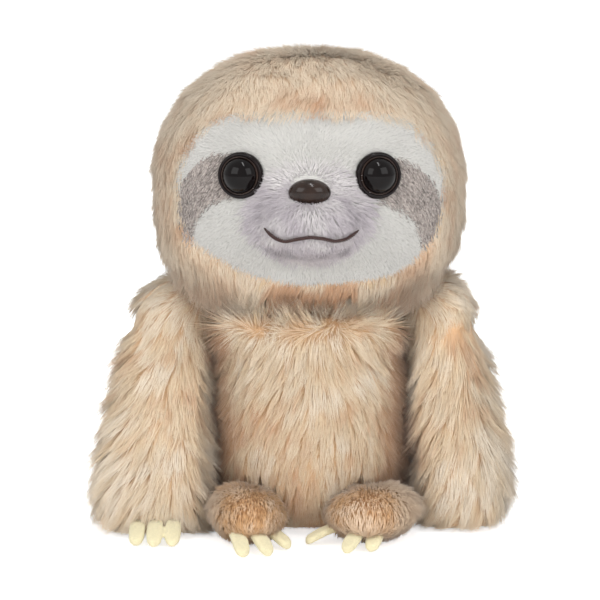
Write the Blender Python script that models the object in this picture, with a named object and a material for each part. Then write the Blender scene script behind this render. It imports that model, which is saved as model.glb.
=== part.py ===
"""Sitting plush sloth, about 19 cm tall, as sewn panels, wadding, felt claws and safety eyes.

Metres, +Z up. The toy faces -Y and sits on its base at Z = 0, with the origin at the base's centre.
Left and right are the toy's own, so its right side is at -X.
"""
import math

import bmesh
import bpy
from mathutils import Matrix, Vector

# Fits
SEAM_GAP = 0.0003            # between two pieces that are sewn or pressed together
TURN_GAP = 0.0006            # round a wad that turns in its opening
SWING_GAP = 0.0010           # between two limbs that move past each other
OVERRUN = 0.0200             # how far a cutter runs past what it cuts
FLAT_DEPTH = 0.0005          # how deep a round form is pressed flat on the floor
SWEEP_STEPS = 4              # places along a joint's range at which its room is cut

# Cloth, backing and combed pile together
SKIN = 0.0055
FACE_DIP = 0.0020            # the short face pile lies this far below the hood's
PANEL_SEGMENTS = 20

# Body, a pear with a flat base
BODY_HALF_WIDTH = 0.0400
BODY_HALF_DEPTH = 0.0415
BODY_HEIGHT = 0.1010
BODY_Y = 0.0040
BODY_POWER = 2.2
# height share, girth share
BODY_SHARES = (
    (0.00, 0.62), (0.03, 0.76), (0.08, 0.88), (0.16, 0.96), (0.30, 1.00), (0.48, 0.98),
    (0.64, 0.97), (0.78, 0.94), (0.88, 0.87), (0.95, 0.73), (1.00, 0.48),
)
BEAN_BAG_RADIUS = 0.0210
BEAN_BAG_HEIGHT = 0.0190
BEAN_BAG_FLAT = 0.0020       # how much its underside is pressed flat on the base
BEAN_BAG_POWER = 2.6

# Head, a wide egg that rests in the body's top
HEAD_HALF_WIDTH = 0.0630
HEAD_HALF_DEPTH = 0.0500
HEAD_RISE = 0.0570
HEAD_DROP = 0.0450
HEAD_SINK = 0.0120           # how far the chin sinks below the body's top
HEAD_Y = -0.0020
HEAD_POWER = 2.3
HEAD_RINGS = 11
NECK_RADIUS = 0.0180
NECK_LIFT = 0.0080           # the neck wad's centre above the chin
NECK_TURN = math.radians(25)
HEAD_NOD = math.radians(8)

# Face window in the hood, and what is on it
FACE_HALF_WIDTH = 0.0520
FACE_RISE = 0.0325
FACE_DROP = 0.0320
FACE_LIFT = 0.0010           # the window's middle above the head's widest ring
FACE_POWER = 2.7
MUZZLE_HALF_WIDTH = 0.0215
MUZZLE_HALF_HEIGHT = 0.0170
MUZZLE_REACH = 0.0140        # how far the muzzle stands out of the face
MUZZLE_ROOT = 0.0120         # how far it goes back into the head
MUZZLE_FALL = 0.0070         # its middle below the head's widest ring
MUZZLE_CLOTH = 0.0035
MUZZLE_RINGS = 8

EYE_RADIUS = 0.0089
EYE_DOME = 0.0062
EYE_RIM = 0.0012
EYE_SHANK_RADIUS = 0.0024
EYE_SHANK_LENGTH = 0.0125
EYE_SPREAD = 0.0260
EYE_LIFT = 0.0100
EYE_TURN = math.radians(16)
EYE_TILT = math.radians(3)
EYE_SINK = 0.0016
WASHER_RADIUS = 0.0078
WASHER_THICKNESS = 0.0018
NOSE_HALF_WIDTH = 0.0080
NOSE_HALF_HEIGHT = 0.0053
NOSE_DOME = 0.0048
NOSE_LIFT = 0.0055
NOSE_RISE_SHARE = 0.37        # its further rise as a share of the muzzle's half height
NOSE_TILT = math.radians(30)
NOSE_SINK = 0.0012
TURNED_SEGMENTS = 16
# radius share, depth share of a domed button from its rim to its middle
DOME_SHARES = ((1.00, 0.0), (0.97, 0.22), (0.87, 0.50), (0.66, 0.78), (0.36, 0.95))

PATCH_THICKNESS = 0.0008
PATCH_WIDTH = 0.0240
PATCH_HEIGHT = 0.0330
PATCH_ABOVE_EYE_SHARE = 1 / 6  # how much of its height lies above the eye's middle
# across share outward from the eye, up share from the patch's tip
PATCH_SHARES = (
    (-0.20, 1.00), (0.18, 0.98), (0.45, 0.87), (0.70, 0.72), (0.88, 0.56), (0.99, 0.38),
    (0.99, 0.22), (0.90, 0.08), (0.72, 0.00), (0.66, 0.18), (0.52, 0.34), (0.30, 0.45), (-0.20, 0.50),
)
MOUTH_RADIUS = 0.0007
MOUTH_HALF_WIDTH = 0.0186
MOUTH_DROP = 0.0050          # the smile's ends above its lowest stitches
MOUTH_FALL = 0.0064          # its middle below the muzzle's middle
# across share, up share of the smile's own height
MOUTH_SHARES = (
    (-0.92, 1.00), (-0.84, 0.56), (-0.68, 0.18), (-0.50, 0.02), (-0.25, 0.30),
    (0.00, 0.46), (0.25, 0.34), (0.50, 0.04), (0.72, 0.06), (0.90, 0.40), (1.00, 0.74),
)

# Arms
ARM_HEIGHT = 0.1005
ARM_HALF_WIDTH = {"right": 0.0262, "left": 0.0214}
ARM_HALF_DEPTH = {"right": 0.0215, "left": 0.0225}
SHOULDER_OUT = 0.0485
SHOULDER_Y = 0.0020
HAND_OUT = {"right": 0.0125, "left": 0.0122}
HAND_FORWARD = {"right": 0.0215, "left": 0.0120}
ARM_POWER = 2.2
# height share, girth share, lean share from the shoulder's line to the hand's
ARM_SHARES = (
    (0.00, 0.70, 1.00), (0.03, 0.85, 1.00), (0.09, 0.96, 1.00), (0.20, 1.00, 0.97),
    (0.34, 0.98, 0.83), (0.50, 0.94, 0.62), (0.66, 0.91, 0.40), (0.80, 0.86, 0.18),
    (0.90, 0.75, 0.05), (0.965, 0.50, 0.00),
)
SHOULDER_HEIGHT_SHARE = 0.78
STUB_RADIUS = 0.0085
STUB_ROOT = 0.0110           # how far the shoulder wad goes into the body
STUB_HOLD = 0.0060           # how far it goes into the arm's own wadding
ARM_BACK = math.radians(-10)
ARM_FORWARD = math.radians(60)

# Feet
FOOT_HALF_WIDTH = {"right": 0.0155, "left": 0.0185}
FOOT_HALF_LENGTH = 0.0215
FOOT_HALF_HEIGHT = 0.0120
FOOT_X = {"right": 0.0240, "left": 0.0240}
FOOT_Y = {"right": -0.0385, "left": -0.0370}
FOOT_TOE_IN = {"right": math.radians(12), "left": math.radians(22)}
FOOT_POWER = 2.1
FOOT_RINGS = 8
SOLE_RISE = 0.0010           # the sole's seam above its inner face
ANKLE_RADIUS = 0.0070
ANKLE_HALF_LENGTH = 0.0090
ANKLE_Y = -0.0270
ANKLE_Z = 0.0135
TOES_DOWN = math.radians(-15)
TOES_UP = math.radians(20)

# Felt claws
CLAW_LENGTH = 0.0165
CLAW_HALF_WIDTH = 0.0032
CLAW_HALF_THICKNESS = 0.0015
CLAW_DROOP = 0.0045
CLAW_TIP_LIFT = 0.0004
# length share, width share
CLAW_SHARES = (
    (0.0, 0.90), (0.35, 0.97), (0.60, 1.00), (0.80, 0.98), (0.91, 0.84), (0.97, 0.60), (1.0, 0.34),
)
CLAW_SEGMENTS = 8
CLAW_EDGE_POWER = 0.6         # a lower power gives a squarer cut edge
# outward place and forward place of each claw's tip from the limb's middle, and its heading outward
FOOT_CLAWS = {
    "right": ((0.0010, 0.0285, math.radians(-12)), (-0.0085, 0.0265, math.radians(-22)),
              (-0.0160, 0.0160, math.radians(-40))),
    "left": ((-0.0005, 0.0215, math.radians(-16)), (-0.0100, 0.0240, math.radians(-24)),
             (-0.0250, 0.0100, math.radians(-64))),
}
HAND_CLAWS = {
    "right": ((0.0060, 0.0300, math.radians(0)), (-0.0010, 0.0320, math.radians(0)),
              (-0.0080, 0.0310, math.radians(0))),
    "left": ((0.0105, -0.0290, math.radians(170)), (0.0000, -0.0310, math.radians(180)),
             (-0.0105, -0.0290, math.radians(190))),
}

OUTWARD = {"right": -1, "left": 1}
NECK_Z = BODY_HEIGHT - HEAD_SINK
HEAD_Z = NECK_Z + HEAD_DROP
NECK = Vector((0, 0, NECK_Z + NECK_LIFT))
SHOULDER_Z = ARM_HEIGHT * SHOULDER_HEIGHT_SHARE
MUZZLE_Z = HEAD_Z - MUZZLE_FALL


def clear_scene():
    """Start from an empty scene."""
    for old in list(bpy.data.objects):
        bpy.data.objects.remove(old, do_unlink=True)


def signed_power(value, power):
    """A power that keeps its base's sign."""
    return math.copysign(abs(value) ** power, value)


def add_object(name, shape):
    """Turn a bmesh into an object with its faces pointing out."""
    bmesh.ops.recalc_face_normals(shape, faces=shape.faces)
    mesh = bpy.data.meshes.new(name)
    shape.to_mesh(mesh)
    shape.free()
    piece = bpy.data.objects.new(name, mesh)
    bpy.context.collection.objects.link(piece)
    return piece


def lofted(name, rings, low=None, high=None):
    """Closed solid through rings of points; an end without a pole is a flat face."""
    shape = bmesh.new()
    loops = [[shape.verts.new(point) for point in ring] for ring in rings]
    count = len(rings[0])
    for below, above in zip(loops, loops[1:]):
        for i in range(count):
            j = (i + 1) % count
            shape.faces.new((below[i], below[j], above[j], above[i]))
    for loop, pole in ((loops[0], low), (loops[-1], high)):
        if pole is None:
            shape.faces.new(loop)
            continue
        tip = shape.verts.new(pole)
        for i in range(count):
            shape.faces.new((loop[i], loop[(i + 1) % count], tip))
    return add_object(name, shape)


def ring(centre, half_width, half_depth, power, segments=PANEL_SEGMENTS):
    """Level loop of points on a superellipse."""
    points = []
    for i in range(segments):
        angle = 2 * math.pi * (i + 0.5) / segments
        x = half_width * signed_power(math.cos(angle), 2 / power)
        y = half_depth * signed_power(math.sin(angle), 2 / power)
        points.append(Vector(centre) + Vector((x, y, 0)))
    return points


def egg(name, centre, half_width, half_depth, rise, drop, power, rings):
    """Rounded solid whose rise and drop may differ."""
    centre = Vector(centre)
    loops = []
    for i in range(1, rings):
        angle = math.pi * (i / rings - 0.5)
        reach = math.cos(angle) ** (2 / power)
        height = signed_power(math.sin(angle), 2 / power) * (rise if angle > 0 else drop)
        loops.append(ring(centre + Vector((0, 0, height)), half_width * reach, half_depth * reach, power))
    low = centre - Vector((0, 0, drop))
    high = centre + Vector((0, 0, rise))
    return lofted(name, loops, low, high)


def box(name, low, high):
    """Plain block between two corners."""
    shape = bmesh.new()
    size = Vector(high) - Vector(low)
    middle = (Vector(high) + Vector(low)) / 2
    bmesh.ops.create_cube(shape, size=1, matrix=Matrix.Translation(middle) @ Matrix.Diagonal((*size, 1)))
    return add_object(name, shape)


def rod(name, centre, half_length, radius, segments=TURNED_SEGMENTS):
    """Round bar along X."""
    shape = bmesh.new()
    matrix = Matrix.Translation(centre) @ Matrix.Rotation(math.pi / 2, 4, "Y")
    bmesh.ops.create_cone(shape, cap_ends=True, segments=segments, radius1=radius, radius2=radius,
                          depth=2 * half_length, matrix=matrix)
    return add_object(name, shape)


def turned(name, profile, matrix, stretch=1):
    """Solid of revolution from radius and height pairs, the first and last on its axis."""
    rings = []
    for radius, height in profile[1:-1]:
        rings.append([matrix @ point for point in
                      ring((0, 0, height), radius, radius * stretch, 2, TURNED_SEGMENTS)])
    low = matrix @ Vector((0, 0, profile[0][1]))
    high = matrix @ Vector((0, 0, profile[-1][1]))
    return lofted(name, rings, low, high)


def remove(*pieces):
    """Take helper shapes out of the scene."""
    for piece in pieces:
        bpy.data.objects.remove(piece, do_unlink=True)


def weld(piece):
    """Merge the points that a cut leaves almost on top of each other."""
    shape = bmesh.new()
    shape.from_mesh(piece.data)
    bmesh.ops.remove_doubles(shape, verts=shape.verts, dist=SEAM_GAP / 100)
    shape.to_mesh(piece.data)
    shape.free()


def largest_shell(piece):
    """Drop offcuts that a cut left loose."""
    shape = bmesh.new()
    shape.from_mesh(piece.data)
    shells = []
    waiting = set(shape.faces)
    while waiting:
        reached = [waiting.pop()]
        shell = set(reached)
        while reached:
            for edge in reached.pop().edges:
                for face in edge.link_faces:
                    if face in waiting:
                        waiting.remove(face)
                        shell.add(face)
                        reached.append(face)
        shells.append(shell)
    shells.sort(key=len)
    for shell in shells[:-1]:
        bmesh.ops.delete(shape, geom=list(shell), context="FACES")
    shape.to_mesh(piece.data)
    shape.free()


def combine(piece, tool, operation, keep_tool=False):
    """Cut, join or intersect with an exact Boolean, and keep the result as the piece's mesh."""
    change = piece.modifiers.new("shape", "BOOLEAN")
    change.operation = operation
    change.solver = "EXACT"
    change.object = tool
    bpy.context.view_layer.update()
    seen = piece.evaluated_get(bpy.context.evaluated_depsgraph_get())
    mesh = bpy.data.meshes.new_from_object(seen)
    piece.modifiers.clear()
    old = piece.data
    piece.data = mesh
    bpy.data.meshes.remove(old)
    weld(piece)
    if not keep_tool:
        remove(tool)
    return piece


def cut(piece, tool, keep_tool=False):
    return combine(piece, tool, "DIFFERENCE", keep_tool)


def join(piece, tool, keep_tool=False):
    return combine(piece, tool, "UNION", keep_tool)


def keep_inside(piece, tool, keep_tool=False):
    return combine(piece, tool, "INTERSECT", keep_tool)


def copy_of(piece, name):
    """Separate object with a mesh of its own."""
    twin = bpy.data.objects.new(name, piece.data.copy())
    bpy.context.collection.objects.link(twin)
    return twin


def turn_about(piece, pivot, angle):
    """Turn a mesh about the X line through a point."""
    matrix = Matrix.Translation(pivot) @ Matrix.Rotation(angle, 4, "X") @ Matrix.Translation(-pivot)
    piece.data.transform(matrix)
    return piece


def steps(low, high, count):
    """Evenly spaced angles with both limits."""
    return [low + (high - low) * i / (count - 1) for i in range(count)]


# Whole forms, each made smaller or larger by an offset

def body_ring(height, offset, share):
    return ring((0, BODY_Y, height), BODY_HALF_WIDTH * share + offset,
                BODY_HALF_DEPTH * share + offset, BODY_POWER)


def body_form(offset=0):
    low = -offset
    high = BODY_HEIGHT + offset
    rings = [body_ring(low + (high - low) * height, offset, girth) for height, girth in BODY_SHARES]
    return lofted("body_form", rings)


def head_form(offset=0):
    return egg("head_form", (0, HEAD_Y, HEAD_Z), HEAD_HALF_WIDTH + offset, HEAD_HALF_DEPTH + offset,
               HEAD_RISE + offset, HEAD_DROP + offset, HEAD_POWER, HEAD_RINGS)


def head_sweep(offset):
    """The room that the head takes as it turns, a round form about the neck."""
    reach = max(HEAD_HALF_WIDTH, HEAD_HALF_DEPTH) + offset
    return egg("head_sweep", (0, 0, HEAD_Z), reach, reach, HEAD_RISE + offset,
               HEAD_DROP + offset, HEAD_POWER, HEAD_RINGS)


def muzzle_form(offset=0):
    front = HEAD_HALF_DEPTH - FACE_DIP + MUZZLE_REACH
    back = front - MUZZLE_REACH - MUZZLE_ROOT
    middle = HEAD_Y - back
    return egg("muzzle_form", (0, middle, MUZZLE_Z), MUZZLE_HALF_WIDTH + offset,
               front - back + offset, MUZZLE_HALF_HEIGHT + offset, MUZZLE_HALF_HEIGHT + offset,
               2, MUZZLE_RINGS)


def hand_middle(side):
    return Vector((OUTWARD[side] * (SHOULDER_OUT + HAND_OUT[side]), SHOULDER_Y - HAND_FORWARD[side], 0))


def shoulder(side):
    return Vector((OUTWARD[side] * SHOULDER_OUT, SHOULDER_Y, SHOULDER_Z))


def arm_form(side, offset=0):
    low = -offset
    high = ARM_HEIGHT + offset
    rings = []
    for height, girth, lean in ARM_SHARES:
        x = OUTWARD[side] * (SHOULDER_OUT + HAND_OUT[side] * lean)
        y = SHOULDER_Y - HAND_FORWARD[side] * lean
        rings.append(ring((x, y, low + (high - low) * height), ARM_HALF_WIDTH[side] * girth + offset,
                          ARM_HALF_DEPTH[side] * girth + offset, ARM_POWER))
    return lofted("arm_form", rings, high=shoulder(side) + Vector((0, 0, high - SHOULDER_Z)))


def foot_outer_edge(side):
    """How far out a turned-in foot reaches."""
    across = FOOT_HALF_WIDTH[side] * math.cos(FOOT_TOE_IN[side])
    along = FOOT_HALF_LENGTH * math.sin(FOOT_TOE_IN[side])
    return FOOT_X[side] + math.hypot(across, along)


def foot_matrix(side):
    place = Matrix.Translation((OUTWARD[side] * FOOT_X[side], FOOT_Y[side], 0))
    return place @ Matrix.Rotation(OUTWARD[side] * -FOOT_TOE_IN[side], 4, "Z")


def foot_form(side, offset=0):
    """Oval bun pressed flat on the floor."""
    middle = FOOT_HALF_HEIGHT - FLAT_DEPTH
    form = egg("foot_form", (0, 0, middle), FOOT_HALF_WIDTH[side] + offset, FOOT_HALF_LENGTH + offset,
               FOOT_HALF_HEIGHT + offset, FOOT_HALF_HEIGHT + offset, FOOT_POWER, FOOT_RINGS)
    form.data.transform(foot_matrix(side))
    far = foot_outer_edge(side) + abs(FOOT_Y[side]) + FOOT_HALF_LENGTH + OVERRUN
    floor = box("floor", (-far, -far, -far), (far, far, -offset))
    return cut(form, floor)


def ankle(side):
    return Vector((OUTWARD[side] * FOOT_X[side], ANKLE_Y, ANKLE_Z))


# Room for moving limbs

def head_seat(offset):
    """Round bowl that the head's underside sweeps when it nods, whichever way it has turned."""
    reach = max(HEAD_HALF_WIDTH, HEAD_HALF_DEPTH) + offset
    drop = HEAD_DROP + offset
    profile = []
    for i in range(1, HEAD_RINGS):
        angle = math.pi / 2 * i / HEAD_RINGS
        across = reach * math.sin(angle) ** (2 / HEAD_POWER)
        above = HEAD_Z - drop * math.cos(angle) ** (2 / HEAD_POWER) - NECK.z
        profile.append((across * math.cos(HEAD_NOD) + above * math.sin(HEAD_NOD),
                        NECK.z + above * math.cos(HEAD_NOD) - across * math.sin(HEAD_NOD)))
    low = min(height for across, height in profile)
    profile = [point for point in profile if point[0] > NECK_RADIUS]
    high = profile[-1][1]
    return turned("head_seat", [(0, low), (NECK_RADIUS, low)] + profile + [(0, high)], Matrix.Identity(4))


def arm_clear_of_head(piece, grow, pivot):
    """Cut what the turning and nodding head would touch at each of the arm's own angles."""
    for turn in (-NECK_TURN, NECK_TURN):
        for nod in (-HEAD_NOD, HEAD_NOD):
            for angle in steps(ARM_BACK, ARM_FORWARD, SWEEP_STEPS):
                tool = turn_about(head_sweep(SWING_GAP + grow), NECK, nod)
                tool.data.transform(Matrix.Rotation(turn, 4, "Z"))
                cut(piece, turn_about(tool, pivot, angle))


def clear_of_body(piece, grow, pivot, angles):
    """Cut what a limb would press into the body at each of its angles."""
    for angle in angles:
        cut(piece, turn_about(body_form(SWING_GAP + grow), pivot, angle))


def body_side(side, grow):
    """Dish about the shoulder's line that holds the body's flank and the foot beside it."""
    flank = max(BODY_HALF_WIDTH, foot_outer_edge(side)) + SWING_GAP + grow
    above_foot = SHOULDER_Z - 2 * FOOT_HALF_HEIGHT - SKIN
    points = [(0, 0), (SHOULDER_Z + OVERRUN, 0), (SHOULDER_Z + OVERRUN, flank), (above_foot, flank)]
    for height, girth in BODY_SHARES:
        down = SHOULDER_Z - BODY_HEIGHT * height
        if STUB_RADIUS < down < points[-1][0]:
            points.append((down, BODY_HALF_WIDTH * girth + SWING_GAP + grow))
    points.append((0, points[-1][1]))
    facing = Matrix.Rotation(OUTWARD[side] * math.pi / 2, 4, "Y")
    place = Matrix.Translation((0, SHOULDER_Y, SHOULDER_Z)) @ facing
    return turned("body_side", points, place)


def carved_body(inset):
    """The pear with a round seat in its top, wide enough for the head to turn and nod."""
    return cut(body_form(-inset), head_seat(SWING_GAP + inset))


def carved_arm(side, inset):
    form = arm_form(side, -inset)
    cut(form, body_side(side, inset))
    arm_clear_of_head(form, inset, shoulder(side))
    return form


def carved_foot(side, inset):
    form = foot_form(side, -inset)
    clear_of_body(form, inset, ankle(side), steps(TOES_DOWN, TOES_UP, SWEEP_STEPS))
    return form


def neck_ball(gap=0):
    radius = NECK_RADIUS + gap
    return egg("neck_ball", NECK, radius, radius, radius, radius, 2, PANEL_SEGMENTS // 2)


def shoulder_stub(side, gap=0):
    """Round wad through the armhole, about the shoulder's line."""
    inner = BODY_HALF_WIDTH - SKIN - STUB_ROOT - gap
    outer = SHOULDER_OUT + STUB_HOLD
    middle = Vector((OUTWARD[side] * (inner + outer) / 2, SHOULDER_Y, SHOULDER_Z))
    return rod("shoulder_stub", middle, (outer - inner) / 2, STUB_RADIUS + gap, PANEL_SEGMENTS)


def ankle_roll(side, gap=0):
    """Round wad at the back of a foot, seated in the body's front."""
    return rod("ankle_roll", ankle(side), ANKLE_HALF_LENGTH + gap, ANKLE_RADIUS + gap, PANEL_SEGMENTS)


# Finishing

def material(name, colour, roughness, metallic=0):
    finish = bpy.data.materials.new(name)
    finish.use_nodes = True
    shader = finish.node_tree.nodes["Principled BSDF"]
    shader.inputs["Base Color"].default_value = (*colour, 1)
    shader.inputs["Roughness"].default_value = roughness
    shader.inputs["Metallic"].default_value = metallic
    finish.diffuse_color = (*colour, 1)
    return finish


def pivot_empty(name, place):
    pivot = bpy.data.objects.new(name, None)
    pivot.location = place
    bpy.context.collection.objects.link(pivot)
    return pivot


def finish(piece, name, surface, pivot):
    """Name, shade and colour a piece, and hang it on its joint's pivot."""
    weld(piece)
    largest_shell(piece)
    piece.name = name
    piece.data.name = name
    piece.data.materials.clear()
    piece.data.materials.append(surface)
    piece.data.shade_smooth()
    piece.data.set_sharp_from_angle(angle=math.radians(38))
    piece.data.transform(Matrix.Translation(-pivot.location))
    piece.parent = pivot
    return piece


def split_at(piece, x, names, surface, pivot):
    """Two panels that meet at an upright seam, the one at -X first."""
    reach = BODY_HEIGHT + HEAD_RISE + HEAD_DROP
    halves = ((names[0], x - reach, x - SEAM_GAP / 2), (names[1], x + SEAM_GAP / 2, x + reach))
    for name, low, high in halves:
        half = copy_of(piece, name)
        keep_inside(half, box("half", (low, -reach, -reach), (high, reach, reach)))
        finish(half, name, surface, pivot)
    remove(piece)


# The toy's pieces

def build_body(surfaces, pivot):
    shell = cut(carved_body(0), carved_body(SKIN))
    base_share = BODY_SHARES[0][1]
    opening = lofted("opening", [body_ring(z, -SKIN, base_share) for z in (-OVERRUN, SKIN + OVERRUN / 2)])
    cut(shell, opening)
    filling = carved_body(SKIN + SEAM_GAP)
    bag_low = SKIN + SEAM_GAP
    bag = bean_bag(bag_low, 0)
    reach = BODY_HALF_WIDTH + BODY_HALF_DEPTH
    cut(bag, box("under", (-reach, -reach, bag_low - OVERRUN), (reach, reach, bag_low)))
    cut(filling, bean_bag(bag_low, SEAM_GAP))
    cut(shell, neck_ball(TURN_GAP))
    cut(filling, neck_ball(TURN_GAP))
    for side in OUTWARD:
        for tool in (shoulder_stub(side, TURN_GAP), ankle_roll(side, TURN_GAP)):
            cut(shell, tool, keep_tool=True)
            cut(filling, tool)
    base = lofted("base", [body_ring(z, -SKIN - SEAM_GAP, base_share) for z in (0, SKIN)])
    for side in OUTWARD:
        cut(base, ankle_roll(side, TURN_GAP))
    split_at(shell, 0, ("body_panel_right", "body_panel_left"), surfaces["shaggy plush"], pivot)
    finish(base, "base_panel", surfaces["base cloth"], pivot)
    finish(filling, "body_stuffing", surfaces["wadding"], pivot)
    finish(bag, "bean_bag", surfaces["pellet cloth"], pivot)


def bean_bag(low, gap):
    """Flat round bag of pellets that weights the seat."""
    half = BEAN_BAG_HEIGHT / 2
    middle = low + half - BEAN_BAG_FLAT
    return egg("bag", (0, BODY_Y, middle), BEAN_BAG_RADIUS + gap, BEAN_BAG_RADIUS + gap,
               half + gap, half + gap, BEAN_BAG_POWER, FOOT_RINGS)


def build_neck(surfaces, pivot):
    finish(neck_ball(), "neck_wad", surfaces["wadding"], pivot)


def face_window(gap):
    """Upright outline of the face, run through the front of the head."""
    power = 2 / FACE_POWER
    points = []
    for i in range(2 * PANEL_SEGMENTS):
        angle = math.pi * (i + 0.5) / PANEL_SEGMENTS
        tall = FACE_RISE if math.sin(angle) > 0 else FACE_DROP
        x = (FACE_HALF_WIDTH - gap) * signed_power(math.cos(angle), power)
        z = (tall - gap) * signed_power(math.sin(angle), power)
        points.append(Vector((x, 0, HEAD_Z + FACE_LIFT + z)))
    front = HEAD_Y - HEAD_HALF_DEPTH - MUZZLE_REACH - OVERRUN
    near = [point + Vector((0, front, 0)) for point in points]
    far = [point + Vector((0, HEAD_Y, 0)) for point in points]
    return lofted("face_window", [near, far])


def head_front(x, z, offset):
    """Y of the head's front surface at a place on it."""
    tall = (HEAD_RISE if z > HEAD_Z else HEAD_DROP) + offset
    wide = HEAD_HALF_WIDTH + offset
    left = 1 - abs(x / wide) ** HEAD_POWER - abs((z - HEAD_Z) / tall) ** HEAD_POWER
    return HEAD_Y - (HEAD_HALF_DEPTH + offset) * max(left, 0) ** (1 / HEAD_POWER)


def muzzle_front(x, z, offset):
    """Y of the muzzle's front surface at a place on it."""
    reach = MUZZLE_REACH + MUZZLE_ROOT + offset
    middle = HEAD_Y - (HEAD_HALF_DEPTH - FACE_DIP - MUZZLE_ROOT)
    across = x / (MUZZLE_HALF_WIDTH + offset)
    up = (z - MUZZLE_Z) / (MUZZLE_HALF_HEIGHT + offset)
    left = 1 - across ** 2 - up ** 2
    return middle - reach * math.sqrt(max(left, 0))


def dome_profile(radius, dome, rim, shank_radius, shank_length, gap=0):
    """Button from its shank's end to its dome's middle."""
    points = [(0, -shank_length - gap), (shank_radius + gap, -shank_length - gap),
              (shank_radius + gap, -rim - gap), (radius + gap, -rim - gap)]
    for across, up in DOME_SHARES:
        points.append((radius * across + gap, dome * up + gap * up))
    points.append((0, dome + gap))
    return points


def eye_matrix(side):
    x = OUTWARD[side] * EYE_SPREAD
    z = HEAD_Z + EYE_LIFT
    y = head_front(x, z, -FACE_DIP) + EYE_SINK
    turn = Matrix.Rotation(OUTWARD[side] * EYE_TURN, 4, "Z")
    tilt = Matrix.Rotation(math.pi / 2 - EYE_TILT, 4, "X")
    return Matrix.Translation((x, y, z)) @ turn @ tilt


def nose_matrix():
    z = MUZZLE_Z + NOSE_LIFT + MUZZLE_HALF_HEIGHT * NOSE_RISE_SHARE
    y = muzzle_front(0, z, 0) + NOSE_SINK
    return Matrix.Translation((0, y, z)) @ Matrix.Rotation(math.pi / 2 - NOSE_TILT, 4, "X")


def washer(name, matrix, front, gap=0):
    """Ring pressed onto a shank behind the cloth."""
    bore = EYE_SHANK_RADIUS + SEAM_GAP - gap
    back = front - WASHER_THICKNESS - gap
    rim = WASHER_RADIUS + gap
    disc = turned(name, [(0, back), (rim, back), (rim, front + gap), (0, front + gap)], matrix)
    if gap == 0:
        past = front + OVERRUN
        before = front - OVERRUN
        cut(disc, turned("bore", [(0, before), (bore, before), (bore, past), (0, past)], matrix))
    return disc


def patch_window(side):
    """Outline of the embroidered patch that sweeps down and out from the eye."""
    tip_z = HEAD_Z + EYE_LIFT + PATCH_HEIGHT * (PATCH_ABOVE_EYE_SHARE - 1)
    points = []
    for across, up in PATCH_SHARES:
        x = OUTWARD[side] * (EYE_SPREAD + PATCH_WIDTH * across)
        points.append(Vector((x, 0, tip_z + PATCH_HEIGHT * up)))
    front = HEAD_Y - HEAD_HALF_DEPTH - OVERRUN
    near = [point + Vector((0, front, 0)) for point in points]
    far = [point + Vector((0, HEAD_Y, 0)) for point in points]
    return lofted("patch_window", [near, far])


def build_patch(side, eye_room, surfaces, pivot):
    low = -FACE_DIP + SEAM_GAP
    patch = cut(head_form(low + PATCH_THICKNESS), head_form(low))
    keep_inside(patch, patch_window(side))
    keep_inside(patch, face_window(2 * SEAM_GAP))
    cut(patch, eye_room, keep_tool=True)
    finish(patch, "eye_patch_" + side, surfaces["grey embroidery"], pivot)


def mouth_thread():
    """Smile laid on the muzzle as one run of yarn."""
    curve = bpy.data.curves.new("mouth", "CURVE")
    curve.dimensions = "3D"
    curve.bevel_depth = MOUTH_RADIUS
    curve.bevel_resolution = 2
    curve.use_fill_caps = True
    curve.resolution_u = 2
    spline = curve.splines.new("POLY")
    spline.points.add(len(MOUTH_SHARES) - 1)
    lift = SEAM_GAP + MOUTH_RADIUS
    for point, (across, up) in zip(spline.points, MOUTH_SHARES):
        x = MOUTH_HALF_WIDTH * across
        z = MUZZLE_Z - MOUTH_FALL + MOUTH_DROP * up
        point.co = (x, muzzle_front(x, z, lift), z, 1)
    line = bpy.data.objects.new("mouth", curve)
    bpy.context.collection.objects.link(line)
    bpy.context.view_layer.update()
    mesh = bpy.data.meshes.new_from_object(line.evaluated_get(bpy.context.evaluated_depsgraph_get()))
    thread = bpy.data.objects.new("mouth_thread", mesh)
    bpy.context.collection.objects.link(thread)
    remove(line)
    return thread


def build_head(surfaces, pivot):
    hood = cut(head_form(), head_form(-SKIN))
    cut(hood, face_window(0))
    cut(hood, neck_ball(TURN_GAP))
    face = cut(head_form(-FACE_DIP), head_form(-SKIN))
    keep_inside(face, face_window(SEAM_GAP))
    cut(face, muzzle_form(SEAM_GAP))
    filling = head_form(-SKIN - SEAM_GAP)
    muzzle = cut(muzzle_form(), muzzle_form(-MUZZLE_CLOTH))
    cut(muzzle, filling, keep_tool=True)
    cut(muzzle, head_form(-SKIN))
    join(filling, muzzle_form(-MUZZLE_CLOTH - SEAM_GAP))
    cut(filling, neck_ball(TURN_GAP))
    for side in OUTWARD:
        build_eye(side, (face, filling), surfaces, pivot)
    build_nose((muzzle, filling), surfaces, pivot)
    split_at(hood, 0, ("hood_panel_right", "hood_panel_left"), surfaces["smooth plush"], pivot)
    split_at(face, 0, ("face_panel_right", "face_panel_left"), surfaces["white velour"], pivot)
    finish(muzzle, "muzzle_panel", surfaces["muzzle plush"], pivot)
    finish(filling, "head_stuffing", surfaces["wadding"], pivot)
    finish(mouth_thread(), "mouth_thread", surfaces["brown yarn"], pivot)


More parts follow.
